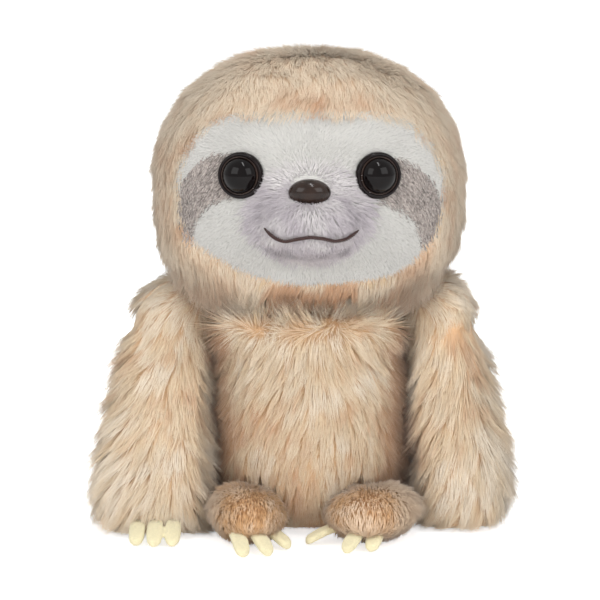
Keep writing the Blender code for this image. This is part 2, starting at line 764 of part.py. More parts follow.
def build_eye(side, around, surfaces, pivot):
    matrix = eye_matrix(side)
    sizes = (EYE_RADIUS, EYE_DOME, EYE_RIM, EYE_SHANK_RADIUS, EYE_SHANK_LENGTH)
    eye = turned("eye", dome_profile(*sizes), matrix)
    room = turned("room", dome_profile(*sizes, gap=SEAM_GAP), matrix)
    behind = -EYE_SINK - SKIN + FACE_DIP - 2 * SEAM_GAP
    for piece in around:
        cut(piece, room, keep_tool=True)
        cut(piece, washer("washer_room", matrix, behind, SEAM_GAP))
    build_patch(side, room, surfaces, pivot)
    remove(room)
    finish(eye, "eye_" + side, surfaces["eye plastic"], pivot)
    finish(washer("washer", matrix, behind), "eye_washer_" + side, surfaces["washer plastic"], pivot)


def build_nose(around, surfaces, pivot):
    matrix = nose_matrix()
    flatten = NOSE_HALF_HEIGHT / NOSE_HALF_WIDTH
    sizes = (NOSE_HALF_WIDTH, NOSE_DOME, EYE_RIM, EYE_SHANK_RADIUS, EYE_SHANK_LENGTH)
    nose = turned("nose", dome_profile(*sizes), matrix, flatten)
    room = turned("room", dome_profile(*sizes, gap=SEAM_GAP), matrix, flatten)
    behind = -NOSE_SINK - MUZZLE_CLOTH - 2 * SEAM_GAP
    for piece in around:
        cut(piece, room, keep_tool=True)
        cut(piece, washer("washer_room", matrix, behind, SEAM_GAP))
    remove(room)
    finish(nose, "nose", surfaces["nose plastic"], pivot)
    finish(washer("washer", matrix, behind), "nose_washer", surfaces["washer plastic"], pivot)


def claw(place, heading, gap=0):
    """Felt tongue that bends down to its tip, which touches the floor."""
    points = []
    for along, wide in CLAW_SHARES:
        back = CLAW_LENGTH * (1 - along) + gap * (1 - 2 * along)
        lift = CLAW_TIP_LIFT + CLAW_HALF_THICKNESS + CLAW_DROOP * (1 - along ** 2)
        half_width = CLAW_HALF_WIDTH * wide + gap
        half_height = CLAW_HALF_THICKNESS + gap
        loop = []
        for i in range(CLAW_SEGMENTS):
            angle = 2 * math.pi * (i + 0.5) / CLAW_SEGMENTS
            x = half_width * signed_power(math.cos(angle), CLAW_EDGE_POWER)
            z = half_height * signed_power(math.sin(angle), CLAW_EDGE_POWER)
            loop.append(Vector((x, back, lift + z)))
        points.append(loop)
    matrix = Matrix.Translation(place) @ Matrix.Rotation(heading, 4, "Z")
    return lofted("claw", [[matrix @ point for point in loop] for loop in points])


def build_claws(limb, side, table, middle, around, surfaces, pivot):
    """Three claws sewn into the seam, their roots let into the pieces round them."""
    for number, (out, forward, heading) in enumerate(table[side], 1):
        place = middle + Vector((OUTWARD[side] * out, -forward, 0))
        turn = OUTWARD[side] * heading
        tongue = claw(place, turn)
        slot = claw(place, turn, SEAM_GAP)
        for piece in around:
            cut(piece, slot, keep_tool=True)
        remove(slot)
        finish(tongue, f"{limb}_{side}_claw_{number}", surfaces["claw felt"], pivot)


def build_arm(side, surfaces, pivot):
    shell = cut(carved_arm(side, 0), carved_arm(side, SKIN))
    filling = carved_arm(side, SKIN + SEAM_GAP)
    cut(shell, shoulder_stub(side, SEAM_GAP))
    join(filling, shoulder_stub(side))
    build_claws("hand", side, HAND_CLAWS, hand_middle(side), (shell, filling), surfaces, pivot)
    names = ["arm_" + side + "_outer_panel", "arm_" + side + "_inner_panel"]
    seam = OUTWARD[side] * (SHOULDER_OUT + HAND_OUT[side] / 2)
    split_at(shell, seam, names[::-OUTWARD[side]], surfaces["shaggy plush"], pivot)
    finish(filling, "arm_" + side + "_stuffing", surfaces["wadding"], pivot)


def build_foot(side, surfaces, pivot):
    shell = cut(carved_foot(side, 0), carved_foot(side, SKIN))
    filling = carved_foot(side, SKIN + SEAM_GAP)
    cut(shell, ankle_roll(side, SEAM_GAP))
    join(filling, ankle_roll(side))
    middle = Vector((OUTWARD[side] * FOOT_X[side], FOOT_Y[side], 0))
    build_claws("foot", side, FOOT_CLAWS, middle, (shell, filling), surfaces, pivot)
    reach = BODY_HEIGHT
    seam = SKIN + SOLE_RISE
    sole = copy_of(shell, "sole")
    keep_inside(sole, box("low", (-reach, -reach, -reach), (reach, reach, seam)))
    keep_inside(shell, box("high", (-reach, -reach, seam + SEAM_GAP), (reach, reach, reach)))
    finish(shell, "foot_" + side + "_upper", surfaces["tan plush"], pivot)
    finish(sole, "foot_" + side + "_sole", surfaces["tan plush"], pivot)
    finish(filling, "foot_" + side + "_stuffing", surfaces["wadding"], pivot)


def build_surfaces():
    return {
        "shaggy plush": material("shaggy_plush", (0.76, 0.57, 0.36), 0.95),
        "smooth plush": material("smooth_plush", (0.79, 0.62, 0.39), 0.93),
        "tan plush": material("tan_plush", (0.55, 0.34, 0.16), 0.95),
        "base cloth": material("base_cloth", (0.70, 0.52, 0.33), 0.95),
        "white velour": material("white_velour", (0.78, 0.77, 0.76), 0.92),
        "muzzle plush": material("muzzle_plush", (0.75, 0.70, 0.70), 0.93),
        "grey embroidery": material("grey_embroidery", (0.39, 0.35, 0.33), 0.70),
        "brown yarn": material("brown_yarn", (0.060, 0.016, 0.013), 0.80),
        "claw felt": material("claw_felt", (0.80, 0.72, 0.42), 0.95),
        "eye plastic": material("eye_plastic", (0.012, 0.007, 0.007), 0.08),
        "nose plastic": material("nose_plastic", (0.045, 0.025, 0.015), 0.15),
        "washer plastic": material("washer_plastic", (0.80, 0.80, 0.78), 0.45),
        "wadding": material("wadding", (0.90, 0.90, 0.88), 0.98),
        "pellet cloth": material("pellet_cloth", (0.85, 0.85, 0.82), 0.85),
    }


def main():
    clear_scene()
    surfaces = build_surfaces()
    build_body(surfaces, pivot_empty("base_pivot", Vector((0, 0, 0))))
    neck = pivot_empty("neck_pivot", NECK)
    build_neck(surfaces, neck)
    build_head(surfaces, pivot_empty("head_pivot", NECK))
    for side in OUTWARD:
        build_arm(side, surfaces, pivot_empty("shoulder_pivot_" + side, shoulder(side)))
        build_foot(side, surfaces, pivot_empty("ankle_pivot_" + side, ankle(side)))


main()
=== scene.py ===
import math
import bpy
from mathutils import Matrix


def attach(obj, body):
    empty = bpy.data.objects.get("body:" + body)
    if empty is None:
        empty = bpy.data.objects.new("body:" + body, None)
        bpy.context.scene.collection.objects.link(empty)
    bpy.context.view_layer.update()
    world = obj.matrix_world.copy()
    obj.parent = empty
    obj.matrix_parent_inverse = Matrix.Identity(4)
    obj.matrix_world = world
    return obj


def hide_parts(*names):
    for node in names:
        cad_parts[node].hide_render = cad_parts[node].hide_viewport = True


bl_info = {
    "name": "Plush sloth",
    "version": (1, 0, 0),
    "blender": (4, 5, 0),
    "location": "View3D > Sidebar > Plush sloth",
    "description": "Dresses the frame of a sitting plush sloth with pile, eyes, stitches and claws on a plain stage",
    "category": "Object",
}

import bmesh
import bpy
import numpy as np
from bpy.props import FloatProperty, FloatVectorProperty, IntProperty, PointerProperty
from mathutils import Matrix, Vector
from mathutils.bvhtree import BVHTree

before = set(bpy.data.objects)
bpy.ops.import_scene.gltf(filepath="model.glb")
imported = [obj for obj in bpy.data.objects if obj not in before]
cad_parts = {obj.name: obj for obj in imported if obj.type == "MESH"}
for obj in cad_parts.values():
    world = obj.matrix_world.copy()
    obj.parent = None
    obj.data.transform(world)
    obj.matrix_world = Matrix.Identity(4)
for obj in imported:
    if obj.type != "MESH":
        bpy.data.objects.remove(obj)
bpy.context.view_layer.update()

MM = 0.001
MERGE_DISTANCE = 0.00001
WAVE_COUNT = 7
WAVE_LEVEL = 3.2
SIDES = ("right", "left")
OUTWARD = {"right": -1, "left": 1}
LIMBS = ("head", "body", "arm_right", "arm_left", "foot_right", "foot_left")

# Places on the head, in metres, as in the frame.
MUZZLE_CENTRE = Vector((0, -0.038, 0.127))
EYE_CENTRES = {"right": (-0.0260, 0.1440), "left": (0.0260, 0.1440)}
NOSE_CENTRE = (0.0, 0.1405)
NOSE_HALF_WIDTH = 0.0080
NOSE_HALF_HEIGHT = 0.0053
# The white face's edge as x and z in millimetres, from the middle of the forehead round by the left cheek.
FACE_EDGE_MM = (
    (0, 167.6), (16, 167.4), (30.5, 166.5), (38, 163.6), (42.8, 159.1), (47.6, 153.5), (52.1, 143.9), (52.6, 138),
    (52.1, 134.1), (51.4, 127), (49.0, 120.2), (43.2, 112.6), (38, 108), (32.6, 104.6), (22, 102.4), (11.6, 101.4),
    (0, 101.0), (-9.3, 101.4), (-19, 103.4), (-28.6, 107.0), (-37, 111.6), (-45, 117.6), (-49.0, 123.5),
    (-50.8, 130.2), (-51.2, 140.6), (-49.2, 148), (-45.5, 154.9), (-41.5, 160), (-35.4, 164.6), (-27.6, 166.9),
    (-14, 167.6),
)
# The grey patches' edges as x and z in millimetres, starting beside the eye.
PATCH_EDGE_MM = {
    "right": ((-29, 150.6), (-35.1, 151.3), (-41.3, 148.2), (-45.6, 144.3), (-48.4, 139.4), (-49.8, 133.9),
              (-49.4, 127.6), (-48.1, 122.2), (-45.8, 117.6), (-44.4, 121.6), (-43.2, 126.4), (-40.6, 130.2),
              (-36.7, 133.3), (-32, 135.3), (-27, 136.6)),
    "left": ((28, 149.8), (33.3, 149.9), (38.4, 147.3), (43.5, 143.7), (47.2, 139.4), (49.9, 133.9), (50.2, 128.4),
             (48.8, 123.0), (46.5, 118.6), (43.0, 114.7), (42.6, 119.6), (41.4, 123.9), (39.2, 127.4),
             (36.2, 130.2), (32.4, 132.2), (27, 134.2)),
}


def linear(code):
    """Linear red, green, blue and alpha of an sRGB hex colour."""
    parts = [int(code[i:i + 2], 16) / 255 for i in (1, 3, 5)]
    return tuple(c / 12.92 if c <= 0.04045 else ((c + 0.055) / 1.055) ** 2.4 for c in parts) + (1.0,)


def length(name, description, default):
    return FloatProperty(name=name, description=description, default=default, min=0, unit="LENGTH")


def share(name, description, default):
    return FloatProperty(name=name, description=description, default=default, min=0, max=1, subtype="FACTOR")


def colour(name, description, code):
    return FloatVectorProperty(name=name, description=description, default=linear(code), size=4, min=0, max=1,
                               subtype="COLOR")


class PlushSizes(bpy.types.PropertyGroup):
    hood_pile: length("Hood pile", "Length of the combed pile on the hood", 0.0080)
    arm_pile: length("Arm pile", "Length of the shaggy pile on the arms", 0.0135)
    body_pile: length("Body pile", "Length of the pile on the body", 0.0110)
    foot_pile: length("Foot pile", "Length of the short pile on the feet", 0.0048)
    face_pile: length("Face pile", "Length of the velour pile on the face", 0.0024)
    muzzle_pile: length("Muzzle pile", "Length of the pile on the muzzle", 0.0052)
    patch_stitch: length("Patch stitch", "Length of a stitch on the grey patches", 0.0030)
    fibre: length("Fibre", "Thickness of one drawn strand, which stands for a few real fibres", 0.00034)
    fill: share("Fill", "How firmly the toy is stuffed", 0.75)
    tile: length("Remesh size", "Size of the small squares that the stuffed skins are made of", 0.0022)
    density: IntProperty(name="Density", description="Strands on each square centimetre of the hood",
                         default=185, min=1)


class PlushColours(bpy.types.PropertyGroup):
    beige: colour("Beige", "Main colour of the long plush", "#ecd4b2")
    hood: colour("Hood", "Main colour of the hood", "#f0dcc2")
    cream: colour("Cream", "Pale tips of the long plush", "#f7e9d5")
    golden: colour("Golden", "Yellow tufts along the hood's seams", "#eac68e")
    # Rosy brown is also the warm tone that the painted shade in creases, under the chin and on the jaw takes.
    rosy: colour("Rosy brown", "Pink-brown locks in the plush", "#d8aa86")
    # The root colour's deeper, warmer tone is painted shade deep in the pile.
    root: colour("Root", "Deep pile where the fur parts", "#d9a473")
    tan: colour("Tan", "Plush of the feet", "#dcab78")
    white: colour("White", "Velour of the face", "#dbd9d4")
    lilac: colour("Lilac", "Cast of the muzzle's pile", "#c4bcc1")
    grey: colour("Grey", "Thread of the patches", "#aca29c")
    eye: colour("Eye", "Eye plastic", "#0d0707")
    nose: colour("Nose", "Nose plastic", "#2c1c14")
    yarn: colour("Yarn", "Mouth yarn", "#33150f")
    claw: colour("Claw", "Felt of the claws", "#e9dfb8")


def sizes():
    return bpy.context.scene.plush_sizes


def colours():
    return bpy.context.scene.plush_colours


# Small helpers for meshes and node trees.

def add_object(name, data):
    """New object of a mesh, lamp or camera at the origin."""
    piece = bpy.data.objects.new(name, data)
    bpy.context.scene.collection.objects.link(piece)
    return piece


def shade_smooth(mesh, smooth=True):
    mesh.polygons.foreach_set("use_smooth", [smooth] * len(mesh.polygons))


def dress(mesh, *finishes):
    """Takes a mesh's materials off and gives it these."""
    mesh.materials.clear()
    for finish in finishes:
        mesh.materials.append(finish)


def turn_faces_out(mesh):
    fixed = bmesh.new()
    fixed.from_mesh(mesh)
    bmesh.ops.recalc_face_normals(fixed, faces=fixed.faces)
    fixed.to_mesh(mesh)
    fixed.free()


def from_points(name, points, faces, smooth=True):
    mesh = bpy.data.meshes.new(name)
    mesh.from_pydata([tuple(p) for p in points], [], faces)
    shade_smooth(mesh, smooth)
    mesh.update()
    return add_object(name, mesh)


def evaluated(piece, name):
    """Plain mesh object of a piece with its modifiers applied. The piece itself goes."""
    depsgraph = bpy.context.evaluated_depsgraph_get()
    depsgraph.update()
    mesh = bpy.data.meshes.new_from_object(piece.evaluated_get(depsgraph), depsgraph=depsgraph)
    bpy.data.objects.remove(piece)
    mesh.name = name
    return add_object(name, mesh)


def vertex_values(mesh, key):
    values = np.empty(len(mesh.vertices) * 3, np.float32)
    mesh.vertices.foreach_get(key, values)
    return values.reshape(-1, 3).astype(float)


def coordinates(mesh):
    return vertex_values(mesh, "co")


def normals_of(mesh):
    return vertex_values(mesh, "normal")


def place_vertices(mesh, places):
    mesh.vertices.foreach_set("co", places.astype(np.float32).ravel())
    mesh.update()


def node_copy(*names):
    """One merged mesh object of copies of CAD nodes."""
    whole = bmesh.new()
    for name in names:
        whole.from_mesh(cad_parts[name].data)
    bmesh.ops.remove_doubles(whole, verts=whole.verts, dist=MERGE_DISTANCE)
    mesh = bpy.data.meshes.new("copy")
    whole.to_mesh(mesh)
    whole.free()
    mesh.materials.clear()
    return add_object("copy", mesh)


def voxel_copy(name, tile, nodes):
    """Closed skin of small squares over copies of CAD nodes."""
    copy = node_copy(*nodes)
    remesh = copy.modifiers.new("Remesh", "REMESH")
    remesh.mode = "VOXEL"
    remesh.voxel_size = tile
    return evaluated(copy, name)


def step_share(value, low, high):
    """Smooth rise from 0 at low to 1 at high."""
    t = np.clip((value - low) / (high - low), 0, 1)
    return t * t * (3 - 2 * t)


def unit(vectors):
    return vectors / np.maximum(np.linalg.norm(vectors, axis=1, keepdims=True), 1e-9)


def run_distance(points, a, b):
    """Distance from each point to the straight run between two others."""
    run = b - a
    t = np.clip(((points - a) @ run) / (run @ run), 0, 1)
    return np.linalg.norm(points - a - t[:, None] * run, axis=1)


def edge_distance(points, edge):
    """Signed distance from places in a plane to a closed outline, positive inside it."""
    edge = np.array(edge, float)
    ahead = np.roll(edge, -1, axis=0)
    best = np.full(len(points), 1e9)
    inside = np.zeros(len(points), bool)
    for a, b in zip(edge, ahead):
        best = np.minimum(best, run_distance(points, a, b))
        crosses = (a[1] > points[:, 1]) != (b[1] > points[:, 1])
        rise = b[1] - a[1] if b[1] != a[1] else 1e-9
        inside ^= crosses & (points[:, 0] < (points[:, 1] - a[1]) / rise * (b[0] - a[0]) + a[0])
    return np.where(inside, best, -best)


def outline_depth(places, edge_mm):
    """How far each place is inside an outline on the face, in metres. Behind the head it is outside."""
    flat = edge_distance(places[:, [0, 2]] / MM, edge_mm) * MM
    return np.where(places[:, 1] < 0, flat, -1)


def face_depth(places):
    return outline_depth(places, FACE_EDGE_MM)


def patch_depth(places, side):
    return outline_depth(places, PATCH_EDGE_MM[side])


def waves(places, size, seed):
    """Smooth noise from -1 to 1 over places, with features of about the given size."""
    rng = np.random.default_rng(seed)
    total = np.zeros(len(places))
    for _ in range(WAVE_COUNT):
        way = rng.normal(size=3)
        way *= 2 * math.pi / (size * rng.uniform(0.8, 2.2)) / np.linalg.norm(way)
        total += np.sin(places @ way + rng.uniform(0, 2 * math.pi))
    return np.clip(total / WAVE_LEVEL, -1, 1)


def node(tree, kind, inputs=None, **settings):
    """Adds a node with its settings. An input is a value, or the output socket that it is linked to."""
    new = tree.nodes.new(kind)
    for key, value in settings.items():
        setattr(new, key, value)
    for key, value in (inputs or {}).items():
        if isinstance(value, bpy.types.NodeSocket):
            tree.links.new(value, new.inputs[key])
        else:
            new.inputs[key].default_value = value
    return new


# The skins: stuffed forms under the pile.

SKIN_NODES = {
    "head": ("hood_panel_right", "hood_panel_left", "face_panel_right", "face_panel_left", "muzzle_panel",
             "head_stuffing"),
    "body": ("body_panel_right", "body_panel_left", "base_panel", "body_stuffing", "bean_bag"),
    "neck": ("neck_wad",),
}
for SIDE in SIDES:
    SKIN_NODES["arm_" + SIDE] = tuple(f"arm_{SIDE}_{part}" for part in ("outer_panel", "inner_panel", "stuffing"))
    SKIN_NODES["foot_" + SIDE] = tuple(f"foot_{SIDE}_{part}" for part in ("upper", "sole", "stuffing"))
# How far the cloth lies under the tips of its pile, in metres.
PILE_DEPTH = {"head": 0.0020, "body": 0.0034, "arm": 0.0042, "foot": 0.0020, "neck": 0.0}
FACE_DEPTH = 0.0009
MUZZLE_DEPTH = 0.0007
# The same where the toy sits on the floor.
SEAT_DEPTH = {"head": 0.0004, "body": 0.0004, "arm": 0.0014, "foot": 0.0014, "neck": 0.0004}
SWELL_CAP = 0.0016
CHEEK_SWELL = 0.0030
# Share of the way to its neighbours' middle that a vertex moves in one round.
EVENING = 0.5
# Share of its depth that the cloth loses where a limb goes into its neighbour.
JOIN_THINNING = 0.85
# Least height of a skin over the floor, in metres.
FLOOR_GAP = 0.0002
FILLING_PRESSURE = 4
FILLING_FRAMES = 20
SKINS = {}


def kind_of(limb):
    """What a limb is without its side."""
    return limb.split("_")[0]


def keep_outer_shell(mesh):
    """Leaves only the shell that holds the widest box."""
    whole = bmesh.new()
    whole.from_mesh(mesh)
    left = set(whole.verts)
    best, widest = [], -1
    while left:
        shell = [left.pop()]
        for vertex in shell:
            for edge in vertex.link_edges:
                other = edge.other_vert(vertex)
                if other in left:
                    left.discard(other)
                    shell.append(other)
        places = np.array([v.co for v in shell])
        reach = np.linalg.norm(places.max(0) - places.min(0))
        if reach > widest:
            best, widest = shell, reach
    best = set(best)
    bmesh.ops.delete(whole, geom=[v for v in whole.verts if v not in best], context="VERTS")
    whole.to_mesh(mesh)
    whole.free()


def relaxed(mesh, rounds):
    """Evens out a skin by moving each vertex towards the middle of its neighbours."""
    places = coordinates(mesh)
    edges = np.empty(len(mesh.edges) * 2, np.int32)
    mesh.edges.foreach_get("vertices", edges)
    edges = edges.reshape(-1, 2)
    count = np.bincount(edges.ravel(), minlength=len(places))[:, None]
    for _ in range(rounds):
        total = np.zeros_like(places)
        np.add.at(total, edges[:, 0], places[edges[:, 1]])
        np.add.at(total, edges[:, 1], places[edges[:, 0]])
        places += EVENING * (total / np.maximum(count, 1) - places)
    place_vertices(mesh, places)


def stuffed(skin):
    """Presses filling against a skin from inside by cloth simulation, within a small cap, and keeps the size."""
    start = coordinates(skin.data)
    outward = normals_of(skin.data)
    cloth = skin.modifiers.new("Cloth", "CLOTH")
    cloth.settings.use_pressure = True
    cloth.settings.uniform_pressure_force = FILLING_PRESSURE
    cloth.settings.quality = 4
    cloth.settings.effector_weights.gravity = 0
    cloth.point_cache.frame_start = 1
    cloth.point_cache.frame_end = FILLING_FRAMES
    for number in range(1, FILLING_FRAMES + 1):
        bpy.context.scene.frame_set(number)
    depsgraph = bpy.context.evaluated_depsgraph_get()
    pressed = coordinates(skin.evaluated_get(depsgraph).data)
    skin.modifiers.clear()
    bpy.context.scene.frame_set(1)
    moved = pressed - start
    out = np.sum(moved * outward, axis=1, keepdims=True)
    moved -= outward * np.median(out)
    moved *= np.minimum(1, SWELL_CAP / np.maximum(np.linalg.norm(moved, axis=1, keepdims=True), 1e-9))
    place_vertices(skin.data, start + moved)


def skin_depth(limb, places, outward):
    """How deep the cloth lies at each place under the frame's outer surface."""
    depth = np.full(len(places), PILE_DEPTH[kind_of(limb)])
    if limb.startswith("arm"):
        depth *= 1 - JOIN_THINNING * step_share(places[:, 2], 0.080, 0.092)
    if limb == "body":
        depth *= 1 - JOIN_THINNING * step_share(places[:, 2], 0.070, 0.080)
    if limb == "head":
        inside = step_share(face_depth(places), -0.0015, 0.0015)
        depth += inside * (FACE_DEPTH - depth)
        near = np.linalg.norm((places - np.array(MUZZLE_CENTRE)) * (1, 0.7, 1.1), axis=1)
        bump = (1 - step_share(near, 0.019, 0.024)) * (places[:, 1] < -0.045)
        depth += bump * (MUZZLE_DEPTH - depth)
        # Stuffing swells the cheeks a little past the frame's form.
        cheek = np.exp(-((places[:, 2] - 0.110) / 0.010) ** 2) * step_share(np.abs(places[:, 0]), 0.034, 0.048)
        depth -= CHEEK_SWELL * cheek * (1 - inside)
        depth *= 1 - JOIN_THINNING * (1 - step_share(places[:, 2], 0.098, 0.106)) * (depth > 0)
    seat = step_share(-outward[:, 2], 0.75, 0.97) * (1 - step_share(places[:, 2], 0.004, 0.010))
    return depth + seat * (SEAT_DEPTH[kind_of(limb)] - depth)


def build_skin(limb):
    """Stuffed cloth form of one limb, cut and closed from the frame's pieces."""
    skin = voxel_copy(limb + "_skin", sizes().tile, SKIN_NODES[limb])
    keep_outer_shell(skin.data)
    relaxed(skin.data, 2)
    if limb != "neck":
        stuffed(skin)
        relaxed(skin.data, 3)
    places, outward = coordinates(skin.data), normals_of(skin.data)
    place_vertices(skin.data, places - outward * skin_depth(limb, places, outward)[:, None])
    relaxed(skin.data, 1)
    places = coordinates(skin.data)
    places[:, 2] = np.maximum(places[:, 2], FLOOR_GAP)
    place_vertices(skin.data, places)
    shade_smooth(skin.data)
    return skin


# The pile: closed three-sided strands set on a skin.

STRAND_SIDES = 3
STRAND_TAPER = 0.35
# The pile below this height is pressed flat against the floor.
FLOOR_ROOM = 0.0015
FLOOR_PRESS = 0.35
UV_WIDTH = 0.004
# Lowest and highest share of its own value that chance gives a strand.
LIFT_RANGE = (0.55, 1.45)
WIDTH_RANGE = (0.4, 0.62)
REACH_RANGE = (0.72, 1.12)
TONE_RANGE = (0.01, 0.985)
LEAST_ROOM = 0.3
SQUARE_CM_IN_M2 = 10000.0
SKIN_MARKS = ("cover", "comb", "pile", "lift", "tone")
STRAND_MARKS = ("shade", "up", "along", "across")


def strand(name, bend, joints):
    """Unit strand along Z that bulges towards X by bend, with so many joints between root and tip."""
    points, along, across = [], [], []
    for ring in range(joints + 1):
        rise = ring / (joints + 1)
        radius = 1 - STRAND_TAPER * rise ** 2
        for side in range(STRAND_SIDES):
            angle = 2 * math.pi * (side + 0.5) / STRAND_SIDES
            lean = 4 * bend * rise * (1 - rise)
            points.append((radius * math.cos(angle) + lean, radius * math.sin(angle), rise))
            along.append(rise)
            across.append(side / 2)
    points.append((0, 0, 1))
    along.append(1)
    across.append(0.5)
    faces = [(2, 1, 0)]
    for ring in range(joints):
        low, high = ring * STRAND_SIDES, (ring + 1) * STRAND_SIDES
        for side in range(STRAND_SIDES):
            after = (side + 1) % STRAND_SIDES
            faces.append((low + side, low + after, high + after, high + side))
    top = joints * STRAND_SIDES
    for side in range(STRAND_SIDES):
        faces.append((top + side, top + (side + 1) % STRAND_SIDES, len(points) - 1))
    piece = from_points(name, points, faces)
    for key, values in (("along", along), ("across", across)):
        piece.data.attributes.new(key, "FLOAT", "POINT").data.foreach_set("value", values)
    return piece


PILE_INPUTS = (
    ("Strand", "NodeSocketObject"), ("Density", "NodeSocketFloat"), ("Length", "NodeSocketFloat"),
    ("Width", "NodeSocketFloat"), ("Lock size", "NodeSocketFloat"), ("Gather", "NodeSocketFloat"),
    ("Stray", "NodeSocketFloat"), ("Lock tone", "NodeSocketFloat"), ("Strand tone", "NodeSocketFloat"),
    ("Normal share", "NodeSocketFloat"), ("Seed", "NodeSocketInt"), ("Material", "NodeSocketMaterial"),
)


def pile_tree():
    """Node tree that sets strands on a skin. It reads the skin's cover, comb, pile, lift and tone."""
    tree = bpy.data.node_groups.get("Pile")
    if tree:
        return tree
    tree = bpy.data.node_groups.new("Pile", "GeometryNodeTree")
    tree.interface.new_socket("Geometry", in_out="INPUT", socket_type="NodeSocketGeometry")
    for name, kind in PILE_INPUTS:
        tree.interface.new_socket(name, in_out="INPUT", socket_type=kind)
    tree.interface.new_socket("Geometry", in_out="OUTPUT", socket_type="NodeSocketGeometry")
    given = tree.nodes.new("NodeGroupInput").outputs

    def read(name, kind="FLOAT"):
        return node(tree, "GeometryNodeInputNamedAttribute", {"Name": name}, data_type=kind).outputs[0]

    def number(operation, a, b=0.0, c=0.0):
        return node(tree, "ShaderNodeMath", {0: a, 1: b, 2: c}, operation=operation).outputs[0]

    def scaled(vector, factor):
        return node(tree, "ShaderNodeVectorMath", {0: vector, "Scale": factor}, operation="SCALE").outputs[0]

    def added(a, b):
        return node(tree, "ShaderNodeVectorMath", {0: a, 1: b}, operation="ADD").outputs[0]

    def chance(low, high, offset):
        seed = number("ADD", given["Seed"], float(offset))
        return node(tree, "FunctionNodeRandomValue", {"Min": low, "Max": high, "Seed": seed},
                    data_type="FLOAT").outputs["Value"]

    thick = number("MULTIPLY", read("cover"), given["Density"])
    spread = node(tree, "GeometryNodeDistributePointsOnFaces",
                  {"Mesh": given["Geometry"], "Density": thick, "Seed": given["Seed"]})
    outward = spread.outputs["Normal"]
    place = node(tree, "GeometryNodeInputPosition").outputs[0]
    per_metre = number("DIVIDE", 1.0, given["Lock size"])
    lock = node(tree, "ShaderNodeTexVoronoi", {"Vector": place, "Scale": per_metre, "Randomness": 1.0})
    to_lock = node(tree, "ShaderNodeVectorMath", {0: lock.outputs["Position"], 1: place}, operation="SUBTRACT")
    gather = scaled(scaled(to_lock.outputs[0], per_metre), given["Gather"])
    lock_tone = number("MULTIPLY", number("SUBTRACT", node(tree, "FunctionNodeSeparateColor", {
        0: lock.outputs["Color"]}).outputs[0], 0.5), given["Lock tone"])
    strand_tone = number("MULTIPLY", chance(-0.5, 0.5, 3), given["Strand tone"])
    tone = number("ADD", read("tone"), number("ADD", lock_tone, strand_tone))
    tone = node(tree, "ShaderNodeClamp", {0: tone, 1: TONE_RANGE[0], 2: TONE_RANGE[1]}).outputs[0]
    marked = node(tree, "GeometryNodeStoreNamedAttribute", {
        "Geometry": spread.outputs["Points"], "Name": "shade", "Value": tone}, data_type="FLOAT", domain="POINT")
    marked = node(tree, "GeometryNodeStoreNamedAttribute", {
        "Geometry": marked.outputs[0], "Name": "up", "Value": outward}, data_type="FLOAT_VECTOR", domain="POINT")

    lift = number("MULTIPLY", read("lift"), chance(*LIFT_RANGE, 5))
    lying = scaled(read("comb", "FLOAT_VECTOR"), number("COSINE", lift))
    rising = scaled(outward, number("SINE", lift))
    wild = node(tree, "FunctionNodeRandomValue", {
        "Min": (-1, -1, -1), "Max": (1, 1, 1), "Seed": number("ADD", given["Seed"], 7.0)},
        data_type="FLOAT_VECTOR").outputs["Value"]
    way = added(added(lying, rising), added(gather, scaled(wild, given["Stray"])))
    turn = node(tree, "FunctionNodeAxesToRotation", {"Primary Axis": way, "Secondary Axis": outward},
                primary_axis="Z", secondary_axis="X")
    width = number("MULTIPLY", given["Width"], chance(*WIDTH_RANGE, 11))
    reach = number("MULTIPLY", number("MULTIPLY", given["Length"], read("pile")), chance(*REACH_RANGE, 13))
    size = node(tree, "ShaderNodeCombineXYZ", {0: width, 1: width, 2: reach})
    shape = node(tree, "GeometryNodeObjectInfo", {"Object": given["Strand"]})
    planted = node(tree, "GeometryNodeInstanceOnPoints", {
        "Points": marked.outputs[0], "Instance": shape.outputs["Geometry"], "Rotation": turn.outputs[0],
        "Scale": size.outputs[0]})
    real = node(tree, "GeometryNodeRealizeInstances", {0: planted.outputs[0]})

    apart = node(tree, "ShaderNodeSeparateXYZ", {0: place})
    sunk = number("DIVIDE", number("SUBTRACT", apart.outputs[2], FLOOR_ROOM), FLOOR_ROOM)
    pressed = number("MULTIPLY", number("EXPONENT", number("MULTIPLY", sunk, FLOOR_PRESS)), FLOOR_ROOM)
    low = number("LESS_THAN", apart.outputs[2], FLOOR_ROOM)
    height = node(tree, "ShaderNodeMix", {0: low, 2: apart.outputs[2], 3: pressed}, data_type="FLOAT").outputs[0]
    flat = node(tree, "ShaderNodeCombineXYZ", {0: apart.outputs[0], 1: apart.outputs[1], 2: height})
    laid = node(tree, "GeometryNodeSetPosition", {"Geometry": real.outputs[0], "Position": flat.outputs[0]})

    own = node(tree, "GeometryNodeInputNormal").outputs[0]
    kept = scaled(own, number("SUBTRACT", 1.0, given["Normal share"]))
    leant = added(kept, scaled(read("up", "FLOAT_VECTOR"), given["Normal share"]))
    leant = node(tree, "ShaderNodeVectorMath", {0: leant}, operation="NORMALIZE").outputs[0]
    soft = node(tree, "GeometryNodeSetMeshNormal", {"Mesh": laid.outputs[0], "Custom Normal": leant}, mode="FREE",
                domain="POINT")
    across = number("MULTIPLY", read("across"), UV_WIDTH)
    chart = node(tree, "ShaderNodeCombineXYZ", {
        0: number("ADD", read("shade"), across),
        1: number("MULTIPLY_ADD", read("along"), 0.98, 0.01)})
    mapped = node(tree, "GeometryNodeStoreNamedAttribute", {
        "Geometry": soft.outputs[0], "Name": "OFBake", "Value": chart.outputs[0]}, data_type="FLOAT2",
        domain="CORNER")
    done = node(tree, "GeometryNodeSetMaterial", {"Geometry": mapped.outputs[0], "Material": given["Material"]})
    output = tree.nodes.new("NodeGroupOutput")
    tree.links.new(done.outputs[0], output.inputs[0])
    return tree


